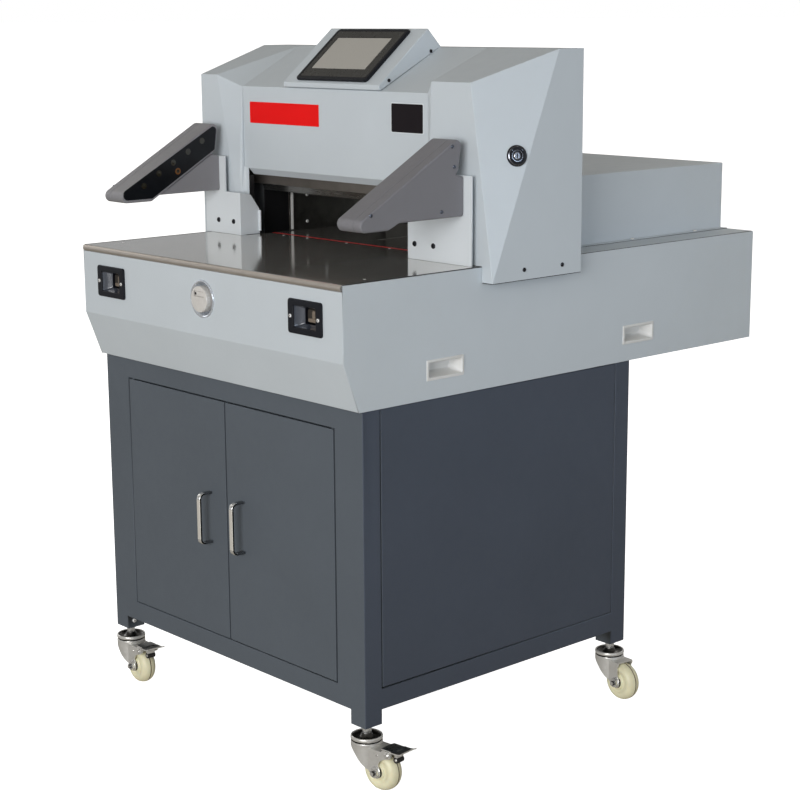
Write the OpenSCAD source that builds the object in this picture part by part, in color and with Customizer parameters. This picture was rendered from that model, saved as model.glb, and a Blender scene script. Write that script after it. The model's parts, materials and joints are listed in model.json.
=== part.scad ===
// Free-standing electric guillotine paper cutter with touch console,
// light-barrier arms and a castored cabinet. Millimetres, +Z up.
// Working frame: X to the operator's right from the middle of the bed,
// Y to the back from the bed's front panel, Z up from the floor.

/* [Bed] */
// Width of the bed over its side panels
bed_w = 782; // [778:1:786]
// Length of the bed, front panel to rear panel
bed_l = 1101; // [1099:1:1110]
// Height of the work table above the floor
table_z = 900; // [899:0.5:901]
// Height at which the front panel starts to slope inward
chamfer_z = 767; // [755:1:780]
// Set-back of the front panel's lower edge
chamfer_y = 33; // [20:1:40]

/* [Cabinet] */
// Width of the cabinet over its posts
cab_w = 777; // [776:1:780]
// Front face of the cabinet, behind the bed's front panel
cab_yf = 42; // [42:1:44]
// Rear face of the cabinet
cab_yr = 727; // [720:1:740]
// Side of the square post
post = 40; // [38:1:41]
// Underside of the bottom rails
rail_z = 138; // [134:1:142]
// Width of the door opening
door_open_w = 628; // [620:1:632]
// Offset of the handle bar from the door
handle_off = 25; // [20:1:30]

/* [Casters] */
// Wheel radius
wheel_r = 37.5; // [36.5:0.5:37.5]
// Wheel width
wheel_w = 31; // [28:1:31]
// Trail of the axle behind the swivel axis
trail = 39; // [38:0.5:40]
// Swivel angle of the front right caster at rest, from +X to +Y
swivel_fr = 6; // [0:1:30]
// Swivel angle of the front left caster at rest
swivel_fl = -4; // [-30:1:30]
// Swivel angle of the rear right caster at rest
swivel_rr = -5; // [-30:1:30]
// Swivel angle of the rear left caster at rest
swivel_rl = 9; // [-30:1:30]

/* [Head] */
// Front plane of the column covers
col_y = 322; // [320:1:323]
// Front plane of the head cover
head_y = 337; // [335:1:337]
// Outer face of the left column cover
left_x = -428; // [-432:1:-426]
// Outer face of the right column cover
right_x = 418; // [417:0.5:419]
// Height of the columns' front top edge
col_z = 1219; // [1216:1:1222]
// Height of the ridge along the head
ridge_z = 1275; // [1273:0.5:1275]
// Ridge line, behind the bed's front panel
ridge_y = 487; // [480:1:492]
// Rear face of the head
head_yr = 551; // [549:1:553]

/* [Cutting] */
// Left wall of the throat
throat_l = -283; // [-284:1:-282]
// Right wall of the throat
throat_r = 219; // [218:1:220]
// Vertical stroke of the knife
stroke = 85.5; // [60:0.5:85.5]

/* [Hidden] */
$fn = 64;
bed_z = 680;                   // underside of the bed
post_z = 111;                  // lower end of the posts
slant = 15;                    // knife path from the vertical, degrees
hb = bed_w/2;
hc = cab_w/2;
tt = 12;                       // table thickness
tz0 = table_z - tt;
edge_z = table_z + 86;         // cutting edge at rest
cab_x = hc - post/2;           // post centres
cab_y1 = cab_yf + post/2;
cab_y2 = cab_yr - post/2;
mid_x = (throat_l + throat_r)/2;
// shift from the working frame to the part's own frame
sx = 20.12;
sy = 546;

slate = [0.25, 0.27, 0.29];
pale = [0.70, 0.73, 0.75];
steel = [0.62, 0.61, 0.59];
zinc = [0.66, 0.65, 0.62];
dark = [0.06, 0.06, 0.07];
armgrey = [0.42, 0.42, 0.45];

// ---------- helpers ----------
module place() translate([-sx, -sy, 0]) children();
module bx(x0, x1, y0, y1, z0, z1) translate([x0, y0, z0]) cube([x1-x0, y1-y0, z1-z0]);
module cx(x0, x1, y, z, r) translate([x0, y, z]) rotate([0, 90, 0]) cylinder(h = x1-x0, r = r);
module cy(y0, y1, x, z, r) translate([x, y0, z]) rotate([-90, 0, 0]) cylinder(h = y1-y0, r = r);
module cz(z0, z1, x, y, r) translate([x, y, z0]) cylinder(h = z1-z0, r = r);
// outline in Y,Z drawn out along X
module ex(x0, x1, pts) translate([x0, 0, 0]) rotate([90, 0, 90]) linear_extrude(x1-x0) polygon(pts);
// outline in X,Z drawn out along Y
module ey(y0, y1, pts) translate([0, y1, 0]) rotate([90, 0, 0]) linear_extrude(y1-y0) polygon(pts);
// rectangle with round corners, drawn out along Y
module ry(y0, y1, x, z, w, h, r) {
  bx(x-w/2+r, x+w/2-r, y0, y1, z-h/2, z+h/2);
  bx(x-w/2, x+w/2, y0, y1, z-h/2+r, z+h/2-r);
  for (i = [-1, 1], j = [-1, 1]) cy(y0, y1, x+i*(w/2-r), z+j*(h/2-r), r);
}
// outline from corners [a, b, radius], each corner rounded by its radius
function xy(p) = [p[0], p[1]];
function arc3(a, b, c, r, n) = let (u = (a-b)/norm(a-b), v = (c-b)/norm(c-b), h = acos(u*v)/2,
  o = b + (u+v)/norm(u+v)*(r/sin(h)), p = b + u*(r/tan(h)), q = b + v*(r/tan(h)))
  [for (i = [0:n]) let (m = (p-o)*(1-i/n) + (q-o)*(i/n)) o + m/norm(m)*r];
function soft(P, n = 4) = let (k = len(P)) [for (i = [0:k-1])
  each (P[i][2] < 0.1 ? [xy(P[i])] : arc3(xy(P[(i+k-1)%k]), xy(P[i]), xy(P[(i+1)%k]), P[i][2], n))];
// hollow square tube along an axis
module tube_x(x0, x1, y0, y1, z0, z1, t = 3) difference() {
  bx(x0, x1, y0, y1, z0, z1); bx(x0-1, x1+1, y0+t, y1-t, z0+t, z1-t); }
module tube_y(x0, x1, y0, y1, z0, z1, t = 3) difference() {
  bx(x0, x1, y0, y1, z0, z1); bx(x0+t, x1-t, y0-1, y1+1, z0+t, z1-t); }

// ---------- cabinet ----------
door_z0 = rail_z + 41.5;
door_z1 = 637.5;
dow = door_open_w/2;
module post_at(x, y) difference() {
  bx(x-post/2, x+post/2, y-post/2, y+post/2, post_z, bed_z);
  bx(x-post/2+3, x+post/2-3, y-post/2+3, y+post/2-3, post_z+8, bed_z+1);
  cz(post_z-1, post_z+9, x, y, 6.05);
}
module cabinet_frame() color(slate) place() {
  for (x = [-cab_x, cab_x], y = [cab_y1, cab_y2]) post_at(x, y);
  for (y = [cab_yf, cab_yr-post]) {
    tube_x(-hc+post, hc-post, y, y+post, rail_z, rail_z+39);
    tube_x(-hc+post, hc-post, y, y+post, 640, bed_z);
  }
  for (s = [-1, 1]) {
    tube_y(s > 0 ? hc-post : -hc, s > 0 ? hc : -hc+post, cab_yf+post, cab_yr-post, rail_z, rail_z+39);
    tube_y(s > 0 ? hc-post-2 : -hc+2, s > 0 ? hc-2 : -hc+post+2, cab_yf+post, cab_yr-post, 640, bed_z);
    bx(s > 0 ? dow : -hc+post, s > 0 ? hc-post : -dow, cab_yf, cab_yf+20, rail_z+39, 640);
    // door pins
    cz(rail_z+38, rail_z+49, s*pin_x, pin_y, 3);
    cz(631, 641, s*pin_x, pin_y, 3);
  }
}
module side_pan() {
  bx(hc-2, hc, cab_yf+post+2, cab_yr-post-2, door_z0, bed_z-2);
  for (y = [cab_yf+post+2, cab_yr-post-4]) bx(hc-15, hc-2, y, y+2, door_z0, 638);
  bx(hc-15, hc-2, cab_yf+post+4, cab_yr-post-4, door_z0, door_z0+2);
  for (y = [cab_yf+130, cab_yr-160]) bx(hc-12, hc-5, y, y+30, rail_z+39, door_z0);
}
module cabinet_panels() color(slate) place() {
  side_pan();
  mirror([1, 0, 0]) side_pan();
  bx(-hc+post+2, hc-post-2, cab_yr-2, cab_yr, door_z0, door_z1);
  for (x = [-200, 170]) bx(x, x+30, cab_yr-20, cab_yr-2, rail_z+39, rail_z+44);
  // floor sheet resting on the rails
  bx(-hc+post+3, hc-post-3, cab_yf+24, cab_yr-22, rail_z+39, rail_z+41);
  bx(-hc+24, hc-24, cab_yf+post+6, cab_yr-post-6, rail_z+39, rail_z+41);
}
pin_x = dow - 3.4 - 7;
pin_y = cab_yf + 7;
// right door; the left one is its mirror image
module door_shape() difference() {
  bx(1.75, dow-3.4, cab_yf, cab_yf+14, door_z0, door_z1);
  bx(3.25, pin_x-9, cab_yf+1.5, cab_yf+15, door_z0+1.5, door_z1-1.5);
  bx(pin_x-10, dow-4.9, cab_yf+1.5, cab_yf+15, door_z0+16, door_z1-16);
  cz(door_z0-1, rail_z+50, pin_x, pin_y, 3.05);
  cz(630, door_z1+1, pin_x, pin_y, 3.05);
}
module door_right() color(slate) place() door_shape();
module door_left() color(slate) place() mirror([1, 0, 0]) door_shape();
hz0 = 361; hz1 = 457;
module handle_shape(x) {
  y = cab_yf - handle_off;
  cz(hz0, hz1, x, y, 5);
  for (z = [hz0, hz1]) { translate([x, y, z]) sphere(r = 5); cy(y, cab_yf, x, z, 5); }
}
module door_handle_right() color([0.75, 0.72, 0.67]) place() handle_shape(50);
module door_handle_left() color([0.75, 0.72, 0.67]) place() handle_shape(-50);

// ---------- casters ----------
module at_post(i) {
  x = (i < 2 ? (i == 0 ? cab_x : -cab_x) : (i == 2 ? cab_x : -cab_x));
  y = i < 2 ? cab_y1 : cab_y2;
  translate([x, y, 0]) children();
}
function swivel(i) = [swivel_fr, swivel_fl, swivel_rr, swivel_rl][i];
// fixed half of the swivel: stem, nut and the dished upper race
module caster_stems() color(zinc) place() for (i = [0:3]) at_post(i) {
  cz(86.5, post_z+20, 0, 0, 6);
  difference() { cz(86, 93, 0, 0, 28.9); cz(88, 94, 0, 0, 25.6); }
  translate([0, 0, 87.5]) cylinder(h = 9, r1 = 15, r2 = 8.5);
  translate([0, 0, 96.5]) cylinder(h = 10.5, r = 9, $fn = 6);
  cz(107, post_z, 0, 0, 12);
  translate([0, 0, post_z+8]) cylinder(h = 8, r = 10.5, $fn = 6);
}
// cheek outline: front edge slopes from the skirt down to the axle
lead_pts = [[39, 27.5], [33, 29.5], [22, 35], [16, 41.5], [6.7, 51.5], [-2.6, 62.5], [-8, 68], [-8, 78.5]];
boss_pts = [[44.5, 46], [47, 41], [47.5, 36], [45, 30.5]];
brake_arm = [[50, 78.5], [56, 82.6], [72, 82.6], [72, 70], [67, 67.5], [56, 65.5], [48, 60], [44, 53]];
plain_tail = [[46, 78.5], [46, 73], [42.5, 68], [42.5, 53]];
skirt_pts = [[-29, 80], [-29, 76.5], [-24, 75.5], [-16, 73.2], [-9, 68.5], [-2.6, 62.5], [6.7, 51.5], [16, 41.5], [22, 35], [22, 80]];
ear = [65, 75];                // brake pin
module fork(i) at_post(i) rotate([0, 0, swivel(i)]) {
  cz(78.5, 83.5, 0, 0, 28.5);
  cz(82.5, 85.7, 0, 0, 24);
  bx(0, i < 2 ? 48 : 46, -20, 20, 76, 79);
  // round skirt under the race, open to the wheel
  difference() {
    intersection() {
      difference() { cz(30, 79, 0, 0, 28.5); cz(29, 78.5, 0, 0, 26); }
      ey(-30, 30, skirt_pts);
    }
    bx(0, 40, -17.5, 17.5, 20, 76);
  }
  for (s = [-1, 1]) {
    ey(s > 0 ? 17.5 : -20, s > 0 ? 20 : -17.5, concat(lead_pts, i < 2 ? brake_arm : plain_tail, boss_pts));
    translate([trail, s > 0 ? 19.5 : -26.5, wheel_r]) rotate([-90, 0, 0]) cylinder(h = 7, r = 9.4, $fn = 6);
    cy(s > 0 ? 16.3 : -17.6, s > 0 ? 17.6 : -16.3, trail, wheel_r, 11.4);
    if (i < 2) {
      cy(s > 0 ? 19.5 : -21.3, s > 0 ? 21.3 : -19.5, 41.7, 70, 2.6);
      cy(s > 0 ? 19.5 : -23, s > 0 ? 23 : -19.5, ear[0], ear[1], 4.6);
    }
  }
  cy(-31.5, 26, trail, wheel_r, 4.6);
  if (i < 2) cy(-20, 20, ear[0], ear[1], 3);
}
hw = wheel_w/2;
module wheel(i) at_post(i) rotate([0, 0, swivel(i)]) translate([trail, 0, wheel_r]) rotate([90, 0, 0])
  difference() {
    rotate_extrude() polygon(concat([[4.65, -16], [14, -16], [15.5, -hw+3], [20, -hw+3], [22.5, -hw]],
      [for (a = [-90:15:90]) [wheel_r - 11.5*(1-cos(a)), hw*sin(a)]],
      [[22.5, hw], [20, hw-3], [15.5, hw-3], [14, 16], [4.65, 16]]));
    rotate_extrude() translate([wheel_r-1.6, -0.8]) square([4, 1.6]);
  }
// forked lever with a rubber stop; turns about the pin through the fork's ears
module brake(i) at_post(i) rotate([0, 0, swivel(i)]) difference() {
  union() {
    translate([0, 0, 82.3]) linear_extrude(2.5) polygon([[50, -17.2], [72.6, -17.2], [72.6, -19], [90, -19],
      [100, -20], [100, -14], [94, -10], [91, -4], [91, 4], [94, 10], [100, 14], [100, 20], [90, 19], [72.6, 19], [72.6, 17.2], [50, 17.2]]);
    for (s = [-1, 1]) {
      ey(s > 0 ? 14.7 : -17.2, s > 0 ? 17.2 : -14.7, [[58, 83], [58, 71], [61, 69], [69, 69], [72, 72], [72, 83]]);
      bx(95.5, 100, s > 0 ? 14 : -19.5, s > 0 ? 19.5 : -14, 84, 88);
    }
    bx(73, 79, -9, 9, 66, 83);
    cy(-9, 9, 76, 66, 5.8);
  }
  cy(-25, 25, ear[0], ear[1], 3.05);
}
module caster_fork_fr() color(zinc) place() fork(0);
module caster_fork_fl() color(zinc) place() fork(1);
module caster_fork_rr() color(zinc) place() fork(2);
module caster_fork_rl() color(zinc) place() fork(3);
module wheel_fr() color([0.85, 0.83, 0.68]) place() wheel(0);
module wheel_fl() color([0.85, 0.83, 0.68]) place() wheel(1);
module wheel_rr() color([0.85, 0.83, 0.68]) place() wheel(2);
module wheel_rl() color([0.85, 0.83, 0.68]) place() wheel(3);
module brake_fr() color([0.3, 0.3, 0.3]) place() brake(0);
module brake_fl() color([0.3, 0.3, 0.3]) place() brake(1);

// ---------- bed ----------
btn_x = 294; btn_z = 835;
module bed_front_panel() color(pale) place() difference() {
  ex(-hb+2, hb-2, [[0, tz0], [0, chamfer_z], [chamfer_y, bed_z], [60, bed_z], [60, bed_z+2],
    [chamfer_y+1.4, bed_z+2], [2, chamfer_z+0.4], [2, tz0]]);
  for (s = [-1, 1]) bx(s*btn_x-42, s*btn_x+42, -5, 5, btn_z-27, btn_z+27);
  cy(-5, 5, 0, btn_z, 32.2);
}
cup_y = [233, 747]; cup_z = 731.5;
side_pts = [[0, table_z-1], [0, chamfer_z], [chamfer_y, bed_z], [bed_l, bed_z], [bed_l, table_z-1]];
module bed_sides() color(pale) place() for (s = [-1, 1]) difference() {
  ex(s > 0 ? hb-2 : -hb, s > 0 ? hb : -hb+2, side_pts);
  for (y = cup_y) bx(s*hb-5, s*hb+5, y-42, y+42, cup_z-15.5, cup_z+15.5);
}
module bed_rear_panel() color(pale) place() difference() {
  bx(-hb+2, hb-2, bed_l-2, bed_l, bed_z, table_z-2);
  bx(176, 224, bed_l-5, bed_l+5, 726, 754);
}
module base_plate() color(slate) place() {
  bx(-hb+4, hb-4, 62, bed_l-4, bed_z, bed_z+6);
  for (s = [-1, 1]) bx(s*300-4, s*300+4, 80, 310, bed_z+6, tz0);
  for (s = [-1, 1]) bx(mid_x+s*200-4, mid_x+s*200+4, 560, 1080, bed_z+6, tz0);
}
module work_table() color(steel) place() difference() {
  union() {
    bx(-hb+3.5, hb-3.5, 3, col_y-2, tz0, table_z);
    cx(-hb+3.5, hb-3.5, 3, table_z-6, 6);
    bx(throat_l, throat_r, col_y-3, bed_l-9, tz0, table_z);
  }
  bx(throat_l-1, throat_r+1, 383, 393, table_z-10, table_z+1);
  bx(mid_x-6, mid_x+6, 455, 1018, tz0-1, table_z+1);
}
module cutting_stick() color([0.75, 0.12, 0.10]) place() bx(throat_l+1, throat_r-1, 383.1, 392.9, table_z-10, table_z);
module rear_deck() color(pale) place() {
  for (s = [-1, 1]) {
    bx(s < 0 ? -hb+2 : throat_r+2, s < 0 ? throat_l-2 : hb-2, head_yr+2, bed_l-2, table_z-2, table_z);
    bx(s < 0 ? throat_l-3 : throat_r+1, s < 0 ? throat_l-1 : throat_r+3, 432, bed_l-6, tz0, 985);
  }
}
// recessed hand cup: thin tray with a lip on the panel
module cup(y) difference() {
  union() {
    bx(hb, hb+1.5, y-45, y+45, cup_z-18.5, cup_z+18.5);
    bx(hb-26, hb+0.5, y-41.8, y+41.8, cup_z-15.3, cup_z+15.3);
  }
  bx(hb-24, hb+5, y-39.5, y+39.5, cup_z-13, cup_z+13);
}
module handle_cups() color([0.9, 0.9, 0.88]) place() for (y = cup_y) { cup(y); mirror([1, 0, 0]) cup(y); }

// ---------- two-hand buttons ----------
module housing_at(x) difference() {
  union() {
    ry(-4, 0, x, btn_z, 90, 60, 5);
    bx(x-41.8, x+41.8, -1, 42, btn_z-26.8, btn_z+26.8);
  }
  bx(x-29, x+29, -6, 36, btn_z-20, btn_z+20);
  cy(30, 50, x, btn_z, 5.05);
}
module button_housings() color(dark) place() { housing_at(-btn_x); housing_at(btn_x); }
module key_at(x) { ry(15, 26, x, btn_z, 34, 24, 5); cy(25, 52, x, btn_z, 5); }
module button_left() color([0.36, 0.33, 0.30]) place() key_at(-btn_x);
module button_right() color([0.36, 0.33, 0.30]) place() key_at(btn_x);

// ---------- hand wheel ----------
module handwheel_dish() color([0.8, 0.8, 0.8]) place() difference() {
  union() { cy(-2.5, 0, 0, btn_z, 35); cy(-1, 14, 0, btn_z, 32); cy(13, 30, 0, btn_z, 11); }
  cy(-5, 11, 0, btn_z, 29.5);
  cy(-5, 40, 0, btn_z, 5.05);
}
tab_x = -11.5; tab_y = -7.2; tab_z = 845;
module handwheel() color([0.8, 0.78, 0.75]) place() difference() {
  union() { cy(-9, 8, 0, btn_z, 24); cy(7, 34, 0, btn_z, 5); }
  bx(tab_x-2.2, tab_x+26.5, -10, -5.2, tab_z-5, tab_z+5);
  cz(tab_z-9, tab_z+9, tab_x, tab_y, 1.05);
}
module handwheel_tab() color([0.85, 0.84, 0.82]) place() {
  bx(tab_x, tab_x+25.5, tab_y-1.5, tab_y+1.5, tab_z-4.6, tab_z+4.6);
  cz(tab_z-4.6, tab_z+4.6, tab_x, tab_y, 1.5);
  cz(tab_z-8.5, tab_z+8.5, tab_x, tab_y, 1);
}

// ---------- frame, knife and clamp ----------
up_l = [-385, -320]; up_r = [235, 290];
fr_y = [395, 470];
pin_l = -352; pin_r = 262; pin_z = 1030;
lat = stroke*tan(slant);
cl_x = mid_x; cl_y = 421;
module main_frame() color([0.35, 0.37, 0.38]) place() difference() {
  union() {
    bx(up_l[0], up_l[1], fr_y[0], fr_y[1], bed_z+6, 1180);
    bx(up_r[0], up_r[1], fr_y[0], fr_y[1], bed_z+6, 1180);
    bx(up_l[0], up_r[1], fr_y[0], fr_y[1], 1180, 1220);
    for (x = [-250, 180]) {
      bx(x, x+24, fr_y[1]-2, 524, 1190, 1200);
      bx(x, x+24, 512, 524, 1195, ridge_z-2);
    }
  }
  cz(1170, 1230, cl_x, cl_y, 18.05);
}
module guide_pins() color(steel) place() {
  for (x = [pin_l, pin_r]) { cy(356, fr_y[0], x, pin_z, 12); cy(352, 356.5, x, pin_z, 19); }
  for (x = [mid_x-200, mid_x+200]) cz(990, 1180, x, cl_y, 10);
}
// points along the knife's path
ax = 291; ay = 369; az = 1000;
module along() translate([ax, ay, az]) rotate([0, 180-slant, 0]) children();
module slot(x) translate([x, 350, pin_z]) rotate([0, -slant, 0]) {
  rotate([-90, 0, 0]) cylinder(h = 40, r = 12.4);
  translate([0, 0, stroke/cos(slant)]) rotate([-90, 0, 0]) cylinder(h = 40, r = 12.4);
  translate([-12.05, 0, 0]) cube([24.1, 40, stroke/cos(slant)]);
}
bolt_x = [for (i = [0:6]) -270 + i*75];
module knife_beam() color(steel) place() {
  difference() {
    union() {
      bx(-400, 312, 360, 378, 1002, 1150);
      bx(274, 312, 360, 378, 985, 1010);
    }
    slot(pin_l); slot(pin_r);
    for (x = bolt_x) cy(355, 380, x, 1040, 5.05);
  }
  along() translate([0, 0, -12]) cylinder(h = 148, r = 7.95);
  along() translate([0, 0, 130]) cylinder(h = 12, r = 13.95);
}
module knife_blade() color([0.72, 0.70, 0.66]) place() difference() {
  ex(throat_l-26, throat_r+3, [[378, 1078], [388, 1078], [388, edge_z], [387.2, edge_z], [378, edge_z+22]]);
  for (x = bolt_x) cy(375, 386, x, 1040, 5.05);
}
module knife_bolts() color([0.2, 0.2, 0.2]) place() for (x = bolt_x) { cy(360, 385.9, x, 1040, 5); cy(352, 360, x, 1040, 8); }
module clamp_beam() color([0.5, 0.52, 0.52]) place() {
  difference() {
    union() {
      bx(throat_l+2, throat_r-2, 392, 448, edge_z, 1010);
      bx(throat_l+2, throat_r-2, 405, 437, 1010, 1108);
    }
    for (x = [mid_x-200, mid_x+200]) cz(989, 1110, x, cl_y, 10.05);
  }
  cz(1108, 1212, cl_x, cl_y, 7.95);
  cz(1211, 1220, cl_x, cl_y, 13.95);
}
module drive_cylinders() color([0.30, 0.32, 0.34]) place() {
  // clamp cylinder, hung under the top beam
  difference() {
    union() { cz(1113, 1226, cl_x, cl_y, 18); cz(1174, 1180, cl_x, cl_y, 28); }
    cz(1124, 1222, cl_x, cl_y, 14);
    cz(1110, 1125, cl_x, cl_y, 8.05);
  }
  // knife cylinder, standing on the base plate
  difference() {
    union() {
      along() translate([0, 0, 116]) cylinder(h = 146, r = 18);
      bx(342, 380, 349, 389, bed_z+6, 752);
    }
    along() translate([0, 0, 127]) cylinder(h = 125, r = 14);
    along() translate([0, 0, 110]) cylinder(h = 20, r = 8.05);
  }
}

// ---------- back gauge ----------
g_y = 690; g_z = 850;
module back_gauge() color([0.55, 0.56, 0.56]) place() difference() {
  union() {
    bx(throat_l+7, throat_r-7, g_y, g_y+10, table_z+1.5, 978);
    bx(throat_l+7, throat_r-7, g_y, g_y+36, table_z+1.5, table_z+14);
    for (x = [-180, 116]) ex(x, x+10, [[g_y+9, 912], [g_y+36, 912], [g_y+9, 970]]);
    bx(mid_x-5, mid_x+5, g_y+6, g_y+30, 866, table_z+6);
    bx(mid_x-80, mid_x+80, g_y-8, g_y+42, 832, 868);
  }
  for (x = [mid_x-60, mid_x+60]) cy(g_y-20, g_y+60, x, g_z, 10.05);
  cy(g_y-20, g_y+60, mid_x, g_z, 8.05);
}
module gauge_rails() color(steel) place() {
  for (x = [mid_x-60, mid_x+60]) cy(438, 1006, x, g_z, 10);
  for (y = [420, 1006]) difference() {
    bx(mid_x-84, mid_x+84, y, y+18, bed_z+6, 876);
    cy(y-5, y+30, mid_x, g_z, 8.05);
  }
}
module lead_screw() color([0.7, 0.68, 0.62]) place() cy(421, 1040, mid_x, g_z, 8);
module gauge_motor() color(dark) place() difference() {
  union() { bx(mid_x-28, mid_x+28, 1024, 1088, g_z-28, g_z+28); cy(1088, 1092, mid_x, g_z, 12); }
  cy(1020, 1041, mid_x, g_z, 8.05);
}
module hydraulic_unit() color([0.24, 0.27, 0.32]) place() {
  bx(228, 350, 620, 920, bed_z+6, 800);
  cy(640, 800, 299, 842, 38);
  bx(270, 328, 800, 850, 800, 870);
  cz(800, 812, 328, 890, 16);
}
module power_inlet() color(dark) place() difference() {
  union() { bx(176.2, 223.8, bed_l-34, bed_l, 726.2, 753.8); bx(170, 230, bed_l-4, bed_l-2, 720, 760); }
  bx(186, 214, bed_l-24, bed_l+1, 731, 749);
  for (i = [-7, 0, 7]) bx(199+i, 201+i, bed_l-30, bed_l-20, 738, 742);
}

// ---------- head covers ----------
ridge_in = [ridge_y, ridge_z];
// closed shell through eight or more corner points
module left_outer(t) {
  k = t > 0 ? 1 : 0;
  x0 = left_x + t; xe = -311 - 2.5*k; xi = -309 - 2.5*k; xt = -374 - 1.5*k;
  yf = col_y + t; yh = head_y + t; yr = head_yr - t;
  zb = 860 - 20*k; zt = col_z - t; zr = ridge_z - t;
  // front outline narrows to the top, the bevel joins it to the head
  pts = [[x0, yf, zb], [xe, yf, zb], [xt, yf, zt], [x0, yf, zt],                // 0-3 front
    [x0, ridge_y, zr], [x0, yr, zr], [x0, yr, zb],                              // 4-6 outer side
    [xi, yr, zb], [xi, yr, zr], [xi, ridge_y, zr],                              // 7-9 inner rear
    [xi, yh, zt-23], [xi, yh, zb], [xe, yf, 949]];                              // 10-12 inner front
  polyhedron(pts, [[3, 2, 12, 1, 0], [0, 6, 5, 4, 3], [3, 4, 9, 2], [4, 5, 8, 9],
    [5, 6, 7, 8], [2, 9, 10], [12, 2, 10], [1, 12, 10, 11], [7, 11, 10, 9, 8], [0, 1, 11, 7, 6]]);
}
// right column cover: outer bevel facet opens from the foot to the ridge
bev = 57;
function bev_n() = let (h = col_z-872, w = ridge_y-col_y, k = ridge_z-872, v = [h*w, -bev*k, bev*w]) v/norm(v);
module right_outer(t) {
  x1 = right_x - t; x0 = 238; yf = col_y + t; yr = head_yr - t; zt = col_z - t; zr = ridge_z - t; zb = 872 - (t > 0 ? 20 : 0);
  pts = [[250, yf, zb], [x1, yf, zb], [right_x-bev-t, yf, zt], [262, yf, zt],   // 0-3 front
    [x1, ridge_y+t/2, zr], [x1, yr, zr], [x1, yr, zb],                          // 4-6 outer side
    [x0, yr, zb], [x0, yr, zr], [x0, ridge_y+t/2, zr],                          // 7-9 inner rear
    [x0, head_y+t, zt-20], [x0, head_y+t, zb]];                                 // 10-11 inner front
  polyhedron(pts, [[0, 3, 2, 1], [1, 2, 4], [1, 4, 5, 6], [2, 3, 9, 4], [4, 9, 8, 5],
    [5, 8, 7, 6], [3, 10, 9], [0, 11, 10, 3], [7, 8, 9, 10, 11], [0, 1, 6, 7, 11]]);
}
module left_column_cover() color(pale) place() {
  difference() {
    left_outer(0);
    left_outer(2.5);
    // the side towards the head stays open
    ex(-318, -285, [[head_y+2.7, 840], [head_y+2.7, col_z-26], [ridge_y, ridge_z-4], [head_yr-2.7, ridge_z-4], [head_yr-2.7, 840]]);
    bx(-hb-0.5, -250, 300, 560, 830, table_z+0.4);
    bx(left_x-5, -250, 300, 560, 830, 872);
    cy(310, 340, br_l[0], br_zl, 3.3);
  }
  // edge of the throat
  bx(-312, lip_x, head_y, head_y+2.5, table_z+0.4, 1036);
  bx(lip_x-2, lip_x, head_y+2, 350, table_z+0.4, 1018);
}
// key switch place on the bevel facet
ks_p = [409, 389, 1091.5];
module on_facet() translate(ks_p) rotate([0, acos(bev_n()[2]), atan2(bev_n()[1], bev_n()[0])]) children();
module right_column_cover() color(pale) place() difference() {
  right_outer(0);
  right_outer(2.5);
  ex(230, 241, [[head_y+2.7, 840], [head_y+2.7, col_z-26], [ridge_y, ridge_z-4], [head_yr-2.7, ridge_z-4], [head_yr-2.7, 840]]);
  bx(230, hb+0.5, 300, 560, 840, table_z+0.4);
  bx(390, 450, 300, 560, 840, 872);
  on_facet() translate([0, 0, -12]) cylinder(h = 24, r = 13.2);
  cy(310, 340, br_r[1], br_zr, 3.3);
}
lip_x = -294;                  // left end of the lip over the throat
function head_pts(lip) = concat(lip ? [[head_y, 1034.5]] : [[head_y, 1036.2]],
  [[head_y, col_z-22], [ridge_y, ridge_z], [head_yr, ridge_z], [head_yr, 1037],
  [head_yr-2, 1037], [head_yr-2, ridge_z-2], [ridge_y+0.5, ridge_z-2], [head_y+2, col_z-23.2]],
  lip ? [[head_y+2, 1035.3], [head_y+14.5, 1022.4], [head_y+13, 1021]] : [[head_y+2, 1036.2]]);
module head_cover() color(pale) place() {
  ex(-308, lip_x, head_pts(false));
  ex(lip_x, 237, head_pts(true));
}
module rear_cover() color(pale) place() {
  difference() {
    bx(-310, 310, head_yr+2, bed_l-2, table_z, 1034);
    bx(-308, 308, head_yr, bed_l-4, table_z-1, 1032);
  }
  for (s = [-1, 1]) bx(s > 0 ? 310 : -326, s > 0 ? 326 : -310, head_yr+2, bed_l-2, table_z, table_z+1.5);
}
module red_plate() color([0.85, 0.12, 0.09]) place() bx(-285, -70, head_y-1.2, head_y, 1125, 1167);
module dark_plate() color(dark) place() bx(139, 225, head_y-0.8, head_y, 1124, 1177);

// ---------- console ----------
con_x = [-171, 110]; con_y0 = 332; con_z0 = 1208;
con_a = atan2(1310-con_z0, 457-con_y0);
con_pts = [[con_y0, 1199], [con_y0, con_z0], [457, 1310], [491, 1275.2], [ridge_y, 1275.2], [head_y+0.5, 1199]];
module on_console() translate([0, con_y0, con_z0]) rotate([con_a, 0, 0]) children();
module console_housing() color(pale) place() difference() {
  ex(con_x[0], con_x[1], con_pts);
  ex(con_x[0]+2, con_x[1]-2, [[con_y0+2, 1201.5], [con_y0+2, con_z0-1.5], [457, 1307.2], [487.5, 1276.5], [ridge_y-2, 1276.5], [head_y+3, 1201.5]]);
  on_console() translate([-128.5, 13, -6]) cube([193, 136, 20]);
  for (p = [[463.5, 1268], [357, 1216.5]]) cx(con_x[1]-4, con_x[1]+1, p[0], p[1], 2.1);
}
module touch_panel() color([0.12, 0.12, 0.12]) place() difference() {
  on_console() union() {
    translate([-136, 6, 0]) cube([208, 147, 6]);
    translate([-128, 60, -15]) cube([192, 88.5, 16]);
  }
  on_console() translate([-114, 37, 5.1]) cube([156, 89, 5]);
}
module touch_screen() color([0.55, 0.53, 0.5]) place() on_console() translate([-114, 37, 5.1]) cube([156, 89, 0.8]);

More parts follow.
